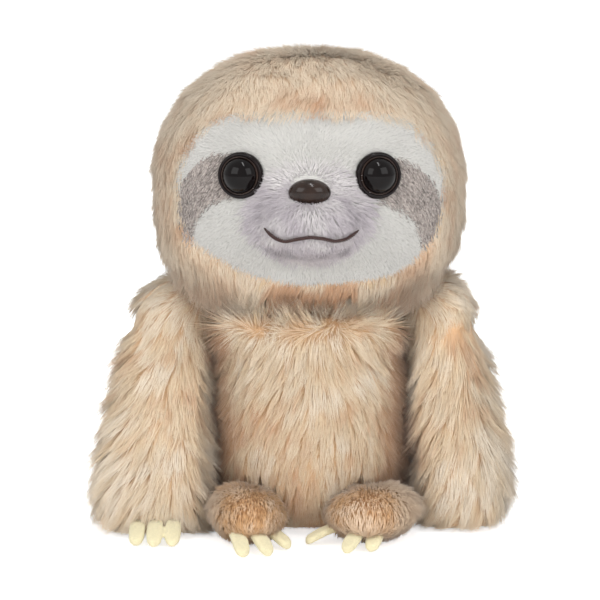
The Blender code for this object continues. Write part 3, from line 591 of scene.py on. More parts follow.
def set_inputs(modifier, values):
    """Sets a node modifier's inputs by their names, through each socket's identifier."""
    for item in modifier.node_group.interface.items_tree:
        if item.in_out == "INPUT" and item.name in values:
            modifier[item.identifier] = values[item.name]


def write_attribute(mesh, name, values, kind="FLOAT"):
    layer = mesh.attributes.new(name, kind, "POINT")
    key = "vector" if kind == "FLOAT_VECTOR" else "value"
    layer.data.foreach_set(key, np.asarray(values, np.float32).ravel())


def combed(way, outward):
    """Unit directions along the surface nearest to the given ones."""
    way = way - outward * np.sum(way * outward, axis=1, keepdims=True)
    return unit(way)


def room_share(limb, places, outward, reach):
    """How much of the pile's reach is free before another limb's skin is met."""
    share_free = np.ones(len(places))
    for other, tree in SKIN_TREES.items():
        if other == limb:
            continue
        for i, (place, way) in enumerate(zip(places, outward)):
            if share_free[i] > LEAST_ROOM:
                hit = tree.ray_cast(Vector(place), Vector(way), reach * 2)
                if hit[0] is not None:
                    share_free[i] = min(share_free[i], max(hit[3] / (reach * 2), LEAST_ROOM))
    return share_free


SKIN_TREES = {}
ROOMS = {}


def free_room(limb, reach):
    """The room over one skin, worked out once."""
    if limb not in ROOMS:
        mesh = SKINS[limb].data
        ROOMS[limb] = room_share(limb, coordinates(mesh), normals_of(mesh), reach)
    return ROOMS[limb]


def plant(name, limb, finish, field, thick, long, bend, *, joints=1, width, lock, gather, stray, lock_tone,
          strand_tone, soft, seed):
    """Pile on one skin, so many times as thick as the hood's plain density.

    The field gives cover, comb, share of length, lift and tone at places on the skin.
    """
    skin = SKINS[limb]
    places, outward = coordinates(skin.data), normals_of(skin.data)
    cover, comb, pile, lift, tone = field(places, outward)
    base = add_object(name, skin.data.copy())
    dress(base.data)
    write_attribute(base.data, "cover", cover)
    write_attribute(base.data, "comb", combed(comb, outward), "FLOAT_VECTOR")
    write_attribute(base.data, "pile", pile)
    write_attribute(base.data, "lift", lift)
    write_attribute(base.data, "tone", tone)
    thickness = sizes().fibre * width
    shape = strand(name + "_strand", bend * 2 * long / thickness, joints)
    modifier = base.modifiers.new("Pile", "NODES")
    modifier.node_group = pile_tree()
    set_inputs(modifier, {
        "Strand": shape, "Density": sizes().density * thick * SQUARE_CM_IN_M2,
        "Length": long, "Width": thickness, "Lock size": lock,
        "Gather": gather, "Stray": stray, "Lock tone": lock_tone, "Strand tone": strand_tone,
        "Normal share": soft, "Seed": seed, "Material": finish,
    })
    piece = evaluated(base, name)
    bpy.data.objects.remove(shape)
    for key in SKIN_MARKS + STRAND_MARKS:
        layer = piece.data.attributes.get(key)
        if layer:
            piece.data.attributes.remove(layer)
    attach(piece, limb)
    return piece


# Finishes.

def new_finish(name):
    """Empty material with a Principled shader. Returns material, tree and shader."""
    finish = bpy.data.materials.new(name)
    finish.use_nodes = True
    tree = finish.node_tree
    shader = tree.nodes["Principled BSDF"]
    return finish, tree, shader


def set_shader(shader, **values):
    for key, value in values.items():
        shader.inputs[key.replace("_", " ")].default_value = value


def ramp(tree, factor, stops):
    new = node(tree, "ShaderNodeValToRGB", {"Fac": factor})
    elements = new.color_ramp.elements
    while len(elements) < len(stops):
        elements.new(1.0)
    for element, (place, tint) in zip(elements, stops):
        element.position = place
        element.color = tint
    return new.outputs[0]


def clouds(tree, place, scale, detail, **more):
    """Noise over a piece, from soft clouding to fine fibres by its scale."""
    return node(tree, "ShaderNodeTexNoise", {"Vector": place, "Scale": scale, "Detail": detail, **more}).outputs["Fac"]


def grain(tree, shader, height, strength, distance):
    bump = node(tree, "ShaderNodeBump", {"Height": height, "Strength": strength, "Distance": distance})
    tree.links.new(bump.outputs[0], shader.inputs["Normal"])


def mixed(tree, factor, a, b, how="MIX"):
    return node(tree, "ShaderNodeMix", {0: factor, 6: a, 7: b}, data_type="RGBA", blend_type=how).outputs[2]


def pile_finish(name, tones, root, tip, root_share, rough=0.7, sheen=0.2, tip_share=0.5):
    """Polyester pile: each strand has its own tone across the chart, and along it a root deepened with painted shade
    and a paler tip.
    """
    finish, tree, shader = new_finish(name)
    chart = node(tree, "ShaderNodeUVMap", uv_map="OFBake").outputs[0]
    apart = node(tree, "ShaderNodeSeparateXYZ", {0: chart})
    body = ramp(tree, apart.outputs[0], tones)
    # Every strand differs a little from its neighbour, as dyed fibre does.
    fleck = node(tree, "ShaderNodeTexWhiteNoise", {"W": node(tree, "ShaderNodeMath", {
        0: apart.outputs[0], 1: 240.0}, operation="MULTIPLY").outputs[0]}, noise_dimensions="1D")
    flecked = mixed(tree, 0.07, body, fleck.outputs["Value"], "OVERLAY")
    # Painted shade: the lower part of each strand blends into the root colour, darkest at the root.
    low = node(tree, "ShaderNodeMapRange", {0: apart.outputs[1], 1: 0.0, 2: root_share, 3: 1.0, 4: 0.0},
               interpolation_type="SMOOTHSTEP").outputs[0]
    high = node(tree, "ShaderNodeMapRange", {0: apart.outputs[1], 1: 0.55, 2: 1.0, 3: 0.0, 4: tip_share}).outputs[0]
    deep = mixed(tree, low, flecked, root)
    tree.links.new(mixed(tree, high, deep, tip), shader.inputs["Base Color"])
    set_shader(shader, Roughness=rough, Sheen_Weight=sheen, Sheen_Roughness=0.45, Specular_IOR_Level=0.3)
    return finish


def knit_finish(name, pale, deep, pitch=0.0011):
    """Knitted backing cloth: small rows of loops under the pile, which read as a fine grain."""
    finish, tree, shader = new_finish(name)
    place = node(tree, "ShaderNodeTexCoord").outputs["Object"]
    rows = node(tree, "ShaderNodeTexWave", {"Vector": place, "Scale": 0.314 / pitch, "Distortion": 2.5, "Detail": 2.0},
                bands_direction="Z").outputs["Fac"]
    loops = node(tree, "ShaderNodeTexVoronoi", {"Vector": place, "Scale": 1 / pitch}).outputs["Distance"]
    cloud = clouds(tree, place, 60.0, 4.0)
    weave = node(tree, "ShaderNodeMath", {0: rows, 1: loops}, operation="MULTIPLY").outputs[0]
    tint = mixed(tree, weave, ramp(tree, cloud, ((0.35, deep), (0.65, pale))), deep)
    tree.links.new(tint, shader.inputs["Base Color"])
    grain(tree, shader, weave, 0.5, 0.0003)
    set_shader(shader, Roughness=0.9, Sheen_Weight=0.3)
    return finish


def shade_of(tint, factor):
    return tuple(min(1, c * factor) for c in tint[:3]) + (1.0,)


def blend_tints(a, b, part):
    return tuple(x + (y - x) * part for x, y in zip(a[:3], b[:3])) + (1.0,)


def long_plush():
    c = colours()
    tones = ((0.0, shade_of(c.rosy, 0.82)), (0.22, c.rosy[:]), (0.45, c.beige[:]), (0.68, c.cream[:]),
             (0.84, blend_tints(c.cream, c.golden, 0.6)), (1.0, c.golden[:]))
    return pile_finish("shaggy_polyester_plush", tones, blend_tints(c.root, c.beige, 0.30), c.cream[:], 0.45)


def hood_plush():
    c = colours()
    tones = ((0.0, c.rosy[:]), (0.3, blend_tints(c.rosy, c.hood, 0.6)), (0.5, c.hood[:]),
             (0.72, blend_tints(c.hood, c.cream, 0.5)), (1.0, c.golden[:]))
    return pile_finish("combed_polyester_plush", tones, blend_tints(c.root, c.hood, 0.50), c.cream[:], 0.42,
                       tip_share=0.3)


def tan_plush():
    c = colours()
    tones = ((0.0, shade_of(c.tan, 0.66)), (0.5, c.tan[:]), (1.0, blend_tints(c.tan, c.cream, 0.55)))
    return pile_finish("short_tan_plush", tones, shade_of(c.root, 0.8), blend_tints(c.tan, c.cream, 0.5), 0.5)


def velour():
    c = colours()
    tones = ((0.0, shade_of(c.white, 0.84)), (0.5, c.white[:]), (1.0, shade_of(c.white, 1.06)))
    return pile_finish("white_velour", tones, shade_of(c.white, 0.86), shade_of(c.white, 1.04), 0.6, 0.85, 0.7)


def muzzle_plush():
    c = colours()
    tones = ((0.0, shade_of(c.lilac, 0.62)), (0.45, c.lilac[:]),
             (1.0, shade_of(blend_tints(c.lilac, c.white, 0.7), 1.14)))
    return pile_finish("lilac_white_plush", tones, shade_of(c.lilac, 0.80), shade_of(c.lilac, 1.12), 0.40)


def patch_thread():
    c = colours()
    tones = ((0.0, shade_of(c.grey, 0.45)), (0.4, shade_of(c.grey, 0.85)), (0.7, c.grey[:]),
             (1.0, shade_of(c.grey, 1.3)))
    return pile_finish("grey_rayon_stitches", tones, shade_of(c.grey, 0.6), c.grey[:], 0.2, 0.5, 0.1)


# Where each pile grows and which way it is combed.

MOUTH_PATH = []
MOUTH_STEPS = 29
# How far ahead of a skin another limb's skin is looked for, and how thin the pile may be at the back.
ROOM_REACH = 0.006
FOOT_ROOM_REACH = 0.004
BACK_THINNING = 0.82


def mouth_path():
    """Middle line of the mouth's yarn, read from the frame's thread."""
    if not MOUTH_PATH:
        places = coordinates(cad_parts["mouth_thread"].data)
        low, high = places[:, 0].min(), places[:, 0].max()
        for i in range(MOUTH_STEPS):
            x = low + (high - low) * i / (MOUTH_STEPS - 1)
            weight = np.exp(-((places[:, 0] - x) / 0.0012) ** 2)
            MOUTH_PATH.append((places * weight[:, None]).sum(0) / weight.sum())
    return np.array(MOUTH_PATH)


def path_distance(places, path):
    best = np.full(len(places), 1e9)
    for a, b in zip(path, path[1:]):
        best = np.minimum(best, run_distance(places, a, b))
    return best


def muzzle_share(places):
    """1 on the muzzle, falling to 0 at its root."""
    across = places[:, 0] / 0.0232
    up = (places[:, 2] - MUZZLE_CENTRE.z - 0.0015) / 0.0190
    return (1 - step_share(np.hypot(across, up), 0.90, 1.06)) * (places[:, 1] < -0.04)


def eye_room(places):
    """0 under the eyes, 1 away from them."""
    free = np.ones(len(places))
    for side in SIDES:
        x, z = EYE_CENTRES[side]
        away = np.hypot(places[:, 0] - x, places[:, 2] - z)
        free = np.minimum(free, step_share(away, 0.0076, 0.0084) + (places[:, 1] > 0))
    return free


def nose_room(places):
    away = np.hypot(places[:, 0] / 0.0074, (places[:, 2] - NOSE_CENTRE[1]) / 0.0050)
    return np.clip(step_share(away, 0.85, 1.0) + (places[:, 1] > 0), 0, 1)


def hood_field(right, front):
    def field(places, outward):
        x, y, z = places.T
        inside = face_depth(places)
        cover = 1 - step_share(inside, 0.0, 0.0012)
        cover *= ((x < 0) == right) & ((y < 0.006) == front)
        cover *= 1 if front else BACK_THINNING
        way = unit(places - np.array((0, 0.034, 0.194))) + (0, 0, -0.35)
        near = (1 - step_share(-inside, 0.0, 0.010)) * (y < 0)
        edge = (1 - step_share(-inside, 0.0, 0.0045)) * (y < 0)
        beside = step_share(np.abs(x), 0.030, 0.048)
        way[:, 0] -= np.sign(x) * near * beside * 0.30
        way[:, 0] += 0.34 * waves(places, 0.020, 3)
        way[:, 2] += 0.20 * waves(places, 0.020, 4)
        seam = np.exp(-((x - 0.0035) / 0.0035) ** 2) * (z > 0.160) * (y < 0.02)
        seam *= np.clip(waves(places, 0.016, 9) + 0.35, 0, 1)
        free = free_room("head", ROOM_REACH)
        pile = (0.94 - 0.40 * edge + 0.15 * waves(places, 0.012, 5)) * (0.5 + 0.5 * free)
        lift = 0.26 + 0.10 * edge + 0.16 * seam + 0.08 * waves(places, 0.016, 6)
        tone = 0.50 + 0.10 * waves(places, 0.030, 7) + 0.08 * waves(places, 0.009, 8)
        gold = waves(places, 0.016, 10)
        # Golden and brown tufts lie along the face's edge; within 10 mm of it the hood is darkened with painted shade,
        # and the seam on the crown is darker.
        tone += edge * np.where(gold > -0.1, 0.42, -0.12) - 0.20 * near - 0.40 * seam
        # The cheeks and the back hang full over the shoulders, and a short band of golden tufts and painted shade lies
        # under the chin.
        jaw = (1 - step_share(z, 0.112, 0.134)) * np.maximum(step_share(-inside, 0.003, 0.010), y > 0)
        jaw *= np.maximum(step_share(np.abs(x), 0.026, 0.042), step_share(y, 0.020, 0.034))
        low = 1 - step_share(z, 0.098, 0.116)
        flank = step_share(np.abs(x), 0.044, 0.054) * step_share(z, 0.100, 0.108)
        pile += 0.80 * jaw * (1 - 0.6 * flank)
        lift += 0.12 * jaw + 0.70 * jaw * low - np.where(x > 0, 0.30, 0.18) * jaw * flank
        chin = (1 - step_share(z, 0.094, 0.108)) * (1 - jaw) * (y < 0.004)
        way += chin[:, None] * np.array((0, -0.5, -0.9))
        pile += 0.60 * chin * (1 - edge)
        lift += 0.45 * chin
        under = (1 - step_share(z, 0.093, 0.100)) * (y < 0.004)
        for axis in range(3):
            way[:, axis] += 0.9 * under * waves(places, 0.010, 81 + axis)
        # Painted shade: under the chin the tufts that are not golden turn rosy brown, and the head's underside and the
        # low jaw are darkened.
        tone += chin * np.where(gold > 0.3, 0.30, -0.40) - 0.30 * under - 0.30 * jaw * low
        return cover, way, pile, lift, tone
    return field


def arm_field(side):
    outer = OUTWARD[side]

    def field(places, outward):
        x, y, z = places.T
        rise = np.clip(z / 0.10, 0, 1)
        middle = outer * (0.0485 + 0.014 * (1 - rise))
        across = (x - middle) * outer / 0.024
        parting = 0.25 if side == "left" else -0.35
        way = np.zeros_like(places)
        way[:, 0] = outer * np.clip(0.85 * (across - parting), -0.45, 0.75)
        way[:, 1] = 0.35 * outward[:, 1]
        way[:, 2] = -1
        way[:, 0] += 0.22 * waves(places, 0.020, 13)
        top = step_share(z, 0.080, 0.094)[:, None]
        way = way * (1 - top) + top * np.array((outer * 0.8, -0.35, -0.5))
        inner = step_share(-across, 0.25, 0.75) * (y < 0.012)
        crest = inner * top[:, 0]
        low_inner = inner * (y < -0.004) * (1 - top[:, 0])
        way += low_inner[:, None] * np.array((-outer * (0.85 if side == "right" else 0.5), -0.45, 0))
        way += crest[:, None] * np.array((-outer * 1.3, -0.2, 0.9))
        free = free_room("arm_" + side, ROOM_REACH)
        pile = (0.90 + 0.14 * waves(places, 0.015, 15)) * (0.55 + 0.45 * free)
        pile = np.maximum(pile, 0.95 * inner) + 0.20 * inner * (y < 0)
        lift = 0.30 + 0.10 * waves(places, 0.012, 16) + 0.20 * inner + 0.25 * crest
        # In the slot beside the body the pile stands across it.
        slot = step_share(-across, 0.2, 0.7) * (y > -0.012) * (y < 0.022) * (1 - top[:, 0])
        lift += 0.45 * slot
        way[:, 0] -= outer * 0.5 * slot
        outside = step_share(across, 0.0, 0.7)
        fall = 1 - step_share(z, 0.0, 0.014)
        shoulder = step_share(z, 0.074, 0.088) * step_share(across, -0.3, 0.4)
        pile *= 1 - 0.28 * shoulder
        lift -= 0.22 * shoulder
        swell = np.exp(-((z - 0.045) / 0.022) ** 2) * (side == "left")
        pile += outside * (0.30 * swell + 0.16 * (1 - shoulder) - 0.45 * fall)
        tone = 0.47 + 0.08 * waves(places, 0.022, 17) + 0.08 * waves(places, 0.009, 18)
        tone += 0.10 * (1 - step_share(z, 0.0, 0.05))
        tone += 0.16 * step_share(z, 0.080, 0.098) * (y < 0.01)
        # Painted shade: darker where another limb is near, on the inner side and in the slot beside the body.
        tone -= 0.14 * (1 - free) + 0.10 * inner + 0.15 * slot
        pile *= 1 - 0.6 * step_share(-outward[:, 2], 0.75, 0.95)
        cover = np.ones(len(places))
        return cover, way, pile, lift, tone
    return field


def body_field(front):
    def field(places, outward):
        x, y, z = places.T
        cover = ((y < 0.004) == front) * (1.0 if front else BACK_THINNING)
        cover *= 1 - step_share(-outward[:, 2], 0.80, 0.95)
        parting = 0.004 + 0.003 * np.sin(z / 0.016)
        fan = np.clip((x - parting) / 0.020, -1, 1)
        high = step_share(z, 0.020, 0.075)
        way = np.zeros_like(places)
        way[:, 0] = fan * (0.15 + 0.45 * high) + 0.22 * waves(places, 0.020, 23)
        way[:, 1] = 0.3 * outward[:, 1]
        way[:, 2] = -1
        # Under the chin the pile is pushed up and forward, in loose tufts.
        top = step_share(z, 0.0785, 0.0835)
        rim = top * step_share(np.hypot(x * 0.8, y - 0.004), 0.016, 0.028)
        rim *= 0.55 + 0.45 * np.clip(2 * waves(places, 0.012, 24), -1, 1)
        collar = unit(np.stack([x, y - 0.004, np.full(len(x), 0.004)], axis=1))
        collar[:, 0] += 0.55 * waves(places, 0.011, 21)
        collar += rim[:, None] * np.array((0, 0, 1.8))
        hang = (step_share(-y, 0.004, 0.020) * (1 - step_share(z, 0.0805, 0.0825)))[:, None]
        collar += hang * np.array((0, -0.2, -2.2))
        way = way * (1 - top[:, None]) + collar * top[:, None]
        corner = top * step_share(np.abs(x), 0.018, 0.030)
        free = free_room("body", ROOM_REACH)
        pile = (0.66 + 0.34 * high + 0.15 * waves(places, 0.014, 25)) * (0.55 + 0.45 * free)
        pile = np.maximum(pile, 1.15 * top) + 0.45 * corner + rim * (0.15 + 0.30 * (y > 0.004))
        lift = 0.28 + 0.10 * high + 0.10 * waves(places, 0.012, 26) + 0.60 * top + 0.10 * corner - 0.30 * rim
        lift -= 0.30 * top * hang[:, 0]
        tone = 0.44 + 0.08 * waves(places, 0.024, 27) + 0.08 * waves(places, 0.010, 28)
        tone += 0.20 * np.exp(-((x - parting) / 0.008) ** 2) * high * (1 - top)
        beside = step_share(np.abs(x), 0.022, 0.034) * (1 - top)
        slot = step_share(np.abs(x), 0.028, 0.036) * (y > -0.020) * (y < 0.022) * (1 - top)
        way[:, 0] += 0.8 * np.sign(x) * slot
        pile = np.maximum(pile, 1.25 * slot)
        lift += 0.55 * slot
        # Painted shade darkens the sides beside the arms and the slots; the pile is also darker towards the floor.
        tone -= 0.30 * beside + 0.10 * slot + 0.08 * (1 - step_share(z, 0.006, 0.03))
        # Painted light: under the chin the top is made paler, in loose tufts, which lifts the head's shadow.
        tone += top * (0.28 * waves(places, 0.008, 29) + 0.22)
        hidden = step_share(z, 0.082, 0.086) * (1 - step_share(np.hypot(x, y - 0.004), 0.014, 0.022))
        cover *= 1 - 0.7 * hidden
        cover *= 0.55 + 0.45 * np.maximum(slot, step_share(free, 0.35, 0.8))
        return cover, way, pile, lift, tone
    return field


def foot_field(side):
    root = np.array((OUTWARD[side] * 0.024, -0.018, 0.020))

    def field(places, outward):
        z = places[:, 2]
        way = unit(places - root)
        way[:, 2] -= 0.25
        way += 0.15 * np.stack([waves(places, 0.010, 33 + i) for i in range(3)], axis=1)
        free = free_room("foot_" + side, FOOT_ROOM_REACH)
        pile = (0.95 + 0.15 * waves(places, 0.008, 36)) * (0.35 + 0.65 * free)
        lift = 0.45 + 0.15 * waves(places, 0.006, 37)
        tone = 0.5 + 0.20 * waves(places, 0.012, 38) + 0.15 * waves(places, 0.005, 39)
        x = places[:, 0] * OUTWARD[side]
        by_arm = step_share(x, 0.030, 0.040)
        by_middle = 1 - step_share(x, 0.008, 0.016)
        pile += 0.8 * by_arm * step_share(z, 0.008, 0.016)
        # The left foot's larger lift is painted light that offsets the shade on its top.
        tone += 0.25 * by_arm - 0.35 * by_middle + (0.38 if side == "left" else 0.18)
        cover = 1 - 0.4 * step_share(-outward[:, 2], 0.80, 0.95)
        return cover, way, pile, lift, tone
    return field


def face_field(places, outward):
    x, z = places[:, 0], places[:, 2]
    inside = face_depth(places)
    cover = step_share(inside, 0.0002, 0.0012) * eye_room(places) * (1 - muzzle_share(places))
    away = np.full(len(places), 0.004)
    for side in SIDES:
        away = np.minimum(away, -patch_depth(places, side))
    cover = cover * step_share(away, -0.0004, 0.0002)
    way = unit(places - np.array((0, -0.045, 0.136))) + (0, 0, -0.35)
    way[:, 0] += 0.20 * waves(places, 0.009, 43)
    clear = step_share(away, 0.0, 0.003)
    pile = (0.9 + 0.15 * waves(places, 0.010, 44)) * (0.45 + 0.55 * clear)
    lift = 0.50 + 0.15 * waves(places, 0.008, 45) + 0.5 * (1 - clear)
    tone = 0.52 + 0.14 * waves(places, 0.014, 46) + 0.10 * waves(places, 0.005, 47)
    tone -= 0.40 * np.exp(-((x - 0.002) / 0.0012) ** 2) * (z > 0.148)
    return cover, way, pile, lift, tone


def muzzle_field(places, outward):
    x, z = places[:, 0], places[:, 2]
    mouth = path_distance(places, mouth_path())
    cover = muzzle_share(places) * nose_room(places) * step_share(mouth, 0.0003, 0.0009)
    way = unit(places - np.array((NOSE_CENTRE[0], -0.058, NOSE_CENTRE[1]))) + (0, 0, -0.12)
    way[:, 0] += 0.12 * waves(places, 0.008, 53)
    below = step_share(0.1212 - z, 0.0, 0.002)
    nose = np.hypot(x / NOSE_HALF_WIDTH, (z - NOSE_CENTRE[1]) / NOSE_HALF_HEIGHT)
    pile = (0.35 + 0.65 * step_share(mouth, 0.001, 0.0065)) * (1 - 0.45 * below)
    pile *= 0.55 + 0.45 * step_share(nose, 1.0, 1.7)
    lift = 0.30 + 0.10 * waves(places, 0.006, 55) + 0.15 * below
    # Painted shade in the lip crease under the mouth and on the muzzle's flanks; the pile is also darker beside the
    # mouth and paler at its top near the nose.
    crease_shade = np.exp(-((z - 0.1150 - 0.0000072 * (x / MM) ** 2) / 0.0020) ** 2)
    crease_shade *= 1 - step_share(np.abs(x), 0.011, 0.018)
    flank = step_share(np.abs(x), 0.011, 0.019) * (z < 0.134)
    tone = 0.62 + 0.18 * waves(places, 0.009, 56) + 0.12 * waves(places, 0.004, 57) - 0.60 * crease_shade
    tone -= 0.26 * np.exp(-(mouth / 0.0018) ** 2) + 0.24 * flank
    tone += 0.26 * step_share(z, 0.134, 0.144) * (1 - step_share(np.abs(x), 0.010, 0.017))
    return cover, way, pile, lift, tone


def patch_field(side):
    outer = OUTWARD[side]

    def field(places, outward):
        cover = step_share(patch_depth(places, side), -0.0003, 0.0002) * eye_room(places)
        slope = 0.95 - 0.55 * step_share(np.abs(places[:, 0]), 0.032, 0.048)
        way = np.zeros_like(places)
        way[:, 0] = outer * (slope + 0.12 * waves(places, 0.010, 63))
        way[:, 2] = -1
        pile = 1 + 0.2 * waves(places, 0.006, 64)
        lift = 0.10 + 0.03 * waves(places, 0.004, 65)
        tone = 0.55 + 0.12 * waves(places, 0.006, 66) + 0.12 * waves(places, 0.002, 67)
        return cover, way, pile, lift, tone
    return field


# Eyes and nose.

EYE_TURN = math.radians(16)
EYE_TILT = math.radians(3)
NOSE_TILT = math.radians(30)
EYE_DOME = 0.0062
NOSE_DOME = 0.0048
LATHE_STEPS = 64
# Across and up in millimetres, from the middle of the dome out to the rim and back along the shank. The third
# value is the finish: 0 dark rim, 1 brown ring, 2 glossy dome.
EYE_PROFILE_MM = (
    (0, 6.30, 2), (1.2, 6.24, 2), (2.5, 5.98, 2), (3.7, 5.50, 2), (4.8, 4.78, 2), (5.7, 3.88, 2), (6.4, 2.86, 2),
    (6.75, 2.15, 1), (6.95, 1.72, 1), (7.2, 1.62, 1), (7.4, 1.80, 0), (7.65, 2.06, 0), (8.0, 2.14, 0),
    (8.4, 1.98, 0), (8.72, 1.52, 0), (8.9, 0.86, 0), (8.95, 0.10, 0), (8.9, -0.60, 0), (8.7, -1.05, 0),
    (8.3, -1.2, 0), (2.5, -1.2, 0), (2.4, -1.4, 0), (2.4, -12.3, 0), (2.2, -12.5, 0), (0, -12.5, 0),
)
NOSE_PROFILE_MM = (
    (0, 4.85), (1.4, 4.78), (2.8, 4.52), (4.2, 4.05), (5.4, 3.38), (6.4, 2.55), (7.2, 1.60), (7.75, 0.65),
    (8.0, -0.1), (7.9, -0.7), (7.4, -1.15), (6.6, -1.2), (2.5, -1.2), (2.4, -1.4),
)


def button_matrix(name, turn, tilt, dome):
    """Place and heading of a button in the frame, whose origin lies under the top of its dome."""
    places = coordinates(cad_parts[name].data)
    heading = Matrix.Rotation(turn, 3, "Z") @ Matrix.Rotation(math.pi / 2 - tilt, 3, "X")
    axis = np.array(heading @ Vector((0, 0, 1)))
    top = places[np.argmax(places @ axis)]
    return Matrix.Translation(Vector(top - axis * dome)) @ heading.to_4x4()


def lathe(name, profile, matrix, stretch, materials):
    """Turned closed piece. A profile point is across and up in millimetres, with its finish's place if given."""
    points, faces, finishes = [], [], []
    for item in profile:
        across, up = item[0] * MM, item[1] * MM
        if across == 0:
            points.append((0, 0, up))
            continue
        for step in range(LATHE_STEPS):
            angle = 2 * math.pi * step / LATHE_STEPS
            points.append((across * math.cos(angle), across * stretch * math.sin(angle), up))
    start = 0
    for item, after in zip(profile, profile[1:]):
        finish = item[2] if len(item) > 2 else 0
        low = start
        start += 1 if item[0] == 0 else LATHE_STEPS
        for step in range(LATHE_STEPS):
            turn = (step + 1) % LATHE_STEPS
            if item[0] == 0:
                faces.append((low, start + step, start + turn))
            elif after[0] == 0:
                faces.append((low + turn, low + step, start))
            else:
                faces.append((low + step, start + step, start + turn, low + turn))
            finishes.append(finish)
    piece = from_points(name, points, faces)
    dress(piece.data, *materials)
    piece.data.polygons.foreach_set("material_index", finishes)
    piece.data.transform(matrix)
    turn_faces_out(piece.data)
    return piece


def moulded_finish(name, tint, deep, rough, coat, marks_scale=900.0):
    """Moulded and tumbled plastic: a deep gloss with faint clouding and fine handling marks."""
    finish, tree, shader = new_finish(name)
    place = node(tree, "ShaderNodeTexCoord").outputs["Object"]
    cloud = clouds(tree, place, 220.0, 3.0)
    tree.links.new(ramp(tree, cloud, ((0.35, deep), (0.7, tint))), shader.inputs["Base Color"])
    marks = clouds(tree, place, marks_scale, 6.0)
    dull = node(tree, "ShaderNodeMapRange", {0: marks, 1: 0.35, 2: 0.8, 3: rough, 4: rough + 0.08}).outputs[0]
    tree.links.new(dull, shader.inputs["Roughness"])
    grain(tree, shader, cloud, 0.04, 0.0002)
    set_shader(shader, Coat_Weight=coat, Coat_Roughness=0.03, IOR=1.49, Specular_IOR_Level=0.16)
    return finish


def build_eye(side):
    c = colours()
    rim = moulded_finish("eye_rim_acrylic", shade_of(c.eye, 2.2), c.eye[:], 0.16, 0.0)
    ring = moulded_finish("eye_ring_acrylic", linear("#382a24"), linear("#221814"), 0.22, 0.2)
    dome = moulded_finish("eye_dome_acrylic", c.eye[:], shade_of(c.eye, 0.5), 0.05, 0.0)
    name = "eye_" + side
    matrix = button_matrix(name, OUTWARD[side] * EYE_TURN, EYE_TILT, EYE_DOME)
    piece = lathe("safety_" + name, EYE_PROFILE_MM, matrix, 1.0, (rim, ring, dome))
    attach(piece, "head")
    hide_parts(name)


def build_nose():
    c = colours()
    finish = moulded_finish("nose_moulded_plastic", c.nose[:], shade_of(c.nose, 0.55), 0.20, 0.25, 500.0)
    places = coordinates(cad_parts["nose"].data)
    matrix = button_matrix("nose", 0, NOSE_TILT, NOSE_DOME)
    back = ((places - np.array(matrix.translation)) @ np.array(matrix.to_3x3() @ Vector((0, 0, 1)))).min() / MM
    profile = NOSE_PROFILE_MM + ((2.4, back + 0.2), (2.2, back), (0, back))
    piece = lathe("moulded_nose", profile, matrix, NOSE_HALF_HEIGHT / NOSE_HALF_WIDTH, (finish,))
    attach(piece, "head")
    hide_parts("nose")


# Mouth.

PLIES = 3
PLY_RADIUS = 0.00040
TWIST_PITCH = 0.0030
YARN_LIFT = 0.0002
YARN_STEPS = 170
YARN_SIDES = 8
YARN_TAPER = 0.0035


def yarn_finish():
    """Plied wool-look yarn: fine hairs run round each ply, with lighter flecks where they turn to the light."""
    c = colours()
    finish, tree, shader = new_finish("plied_brown_yarn")
    place = node(tree, "ShaderNodeTexCoord").outputs["Object"]
    hairs = clouds(tree, place, 2600.0, 4.0)
    tint = ramp(tree, hairs, ((0.3, shade_of(c.yarn, 0.5)), (0.55, c.yarn[:]), (0.8, shade_of(c.yarn, 2.2))))
    tree.links.new(tint, shader.inputs["Base Color"])
    grain(tree, shader, hairs, 0.5, 0.0002)
    set_shader(shader, Roughness=0.8, Sheen_Weight=0.3)
    return finish


def build_mouth():
    """Twisted plies laid along the mouth's line, thin at both ends."""
    path = mouth_path().copy()
    path[:, 1] -= YARN_LIFT
    for _ in range(2):
        path[1:-1] = path[1:-1] * 0.5 + (path[:-2] + path[2:]) * 0.25
    steps = np.linalg.norm(np.diff(path, axis=0), axis=1)
    run = np.concatenate([[0], np.cumsum(steps)])
    count, sides = YARN_STEPS, YARN_SIDES
    at = np.linspace(0, run[-1], count)
    line = np.stack([np.interp(at, run, path[:, i]) for i in range(3)], axis=1)
    ahead = unit(np.gradient(line, axis=0))
    up = unit(np.cross(ahead, np.array([(0, -1, 0)] * count)))
    front = np.cross(ahead, up)
    thin = np.clip(np.minimum(at, run[-1] - at) / YARN_TAPER, 0, 1) ** 0.6 * 0.72 + 0.28
    points, faces = [], []
    for ply in range(PLIES):
        turn = 2 * math.pi * (at / TWIST_PITCH + ply / PLIES)
        off = PLY_RADIUS * 0.95 * thin
        centre = line + up * (off * np.cos(turn))[:, None] + front * (off * np.sin(turn))[:, None]
        first = len(points)
        for i in range(count):
            for side in range(sides):
                angle = 2 * math.pi * side / sides
                away = up[i] * math.cos(angle) + front[i] * math.sin(angle)
                points.append(centre[i] + away * PLY_RADIUS * thin[i])
        for i in range(count - 1):
            for side in range(sides):
                a = first + i * sides + side
                b = first + i * sides + (side + 1) % sides
                faces.append((a, b, b + sides, a + sides))
        faces.append(tuple(first + side for side in reversed(range(sides))))
        faces.append(tuple(first + (count - 1) * sides + side for side in range(sides)))
    piece = from_points("plied_mouth", points, faces)
    turn_faces_out(piece.data)
    piece.data.materials.append(yarn_finish())
    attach(piece, "head")
    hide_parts("mouth_thread")


# Claws.

CLAW_TILE = 0.00042


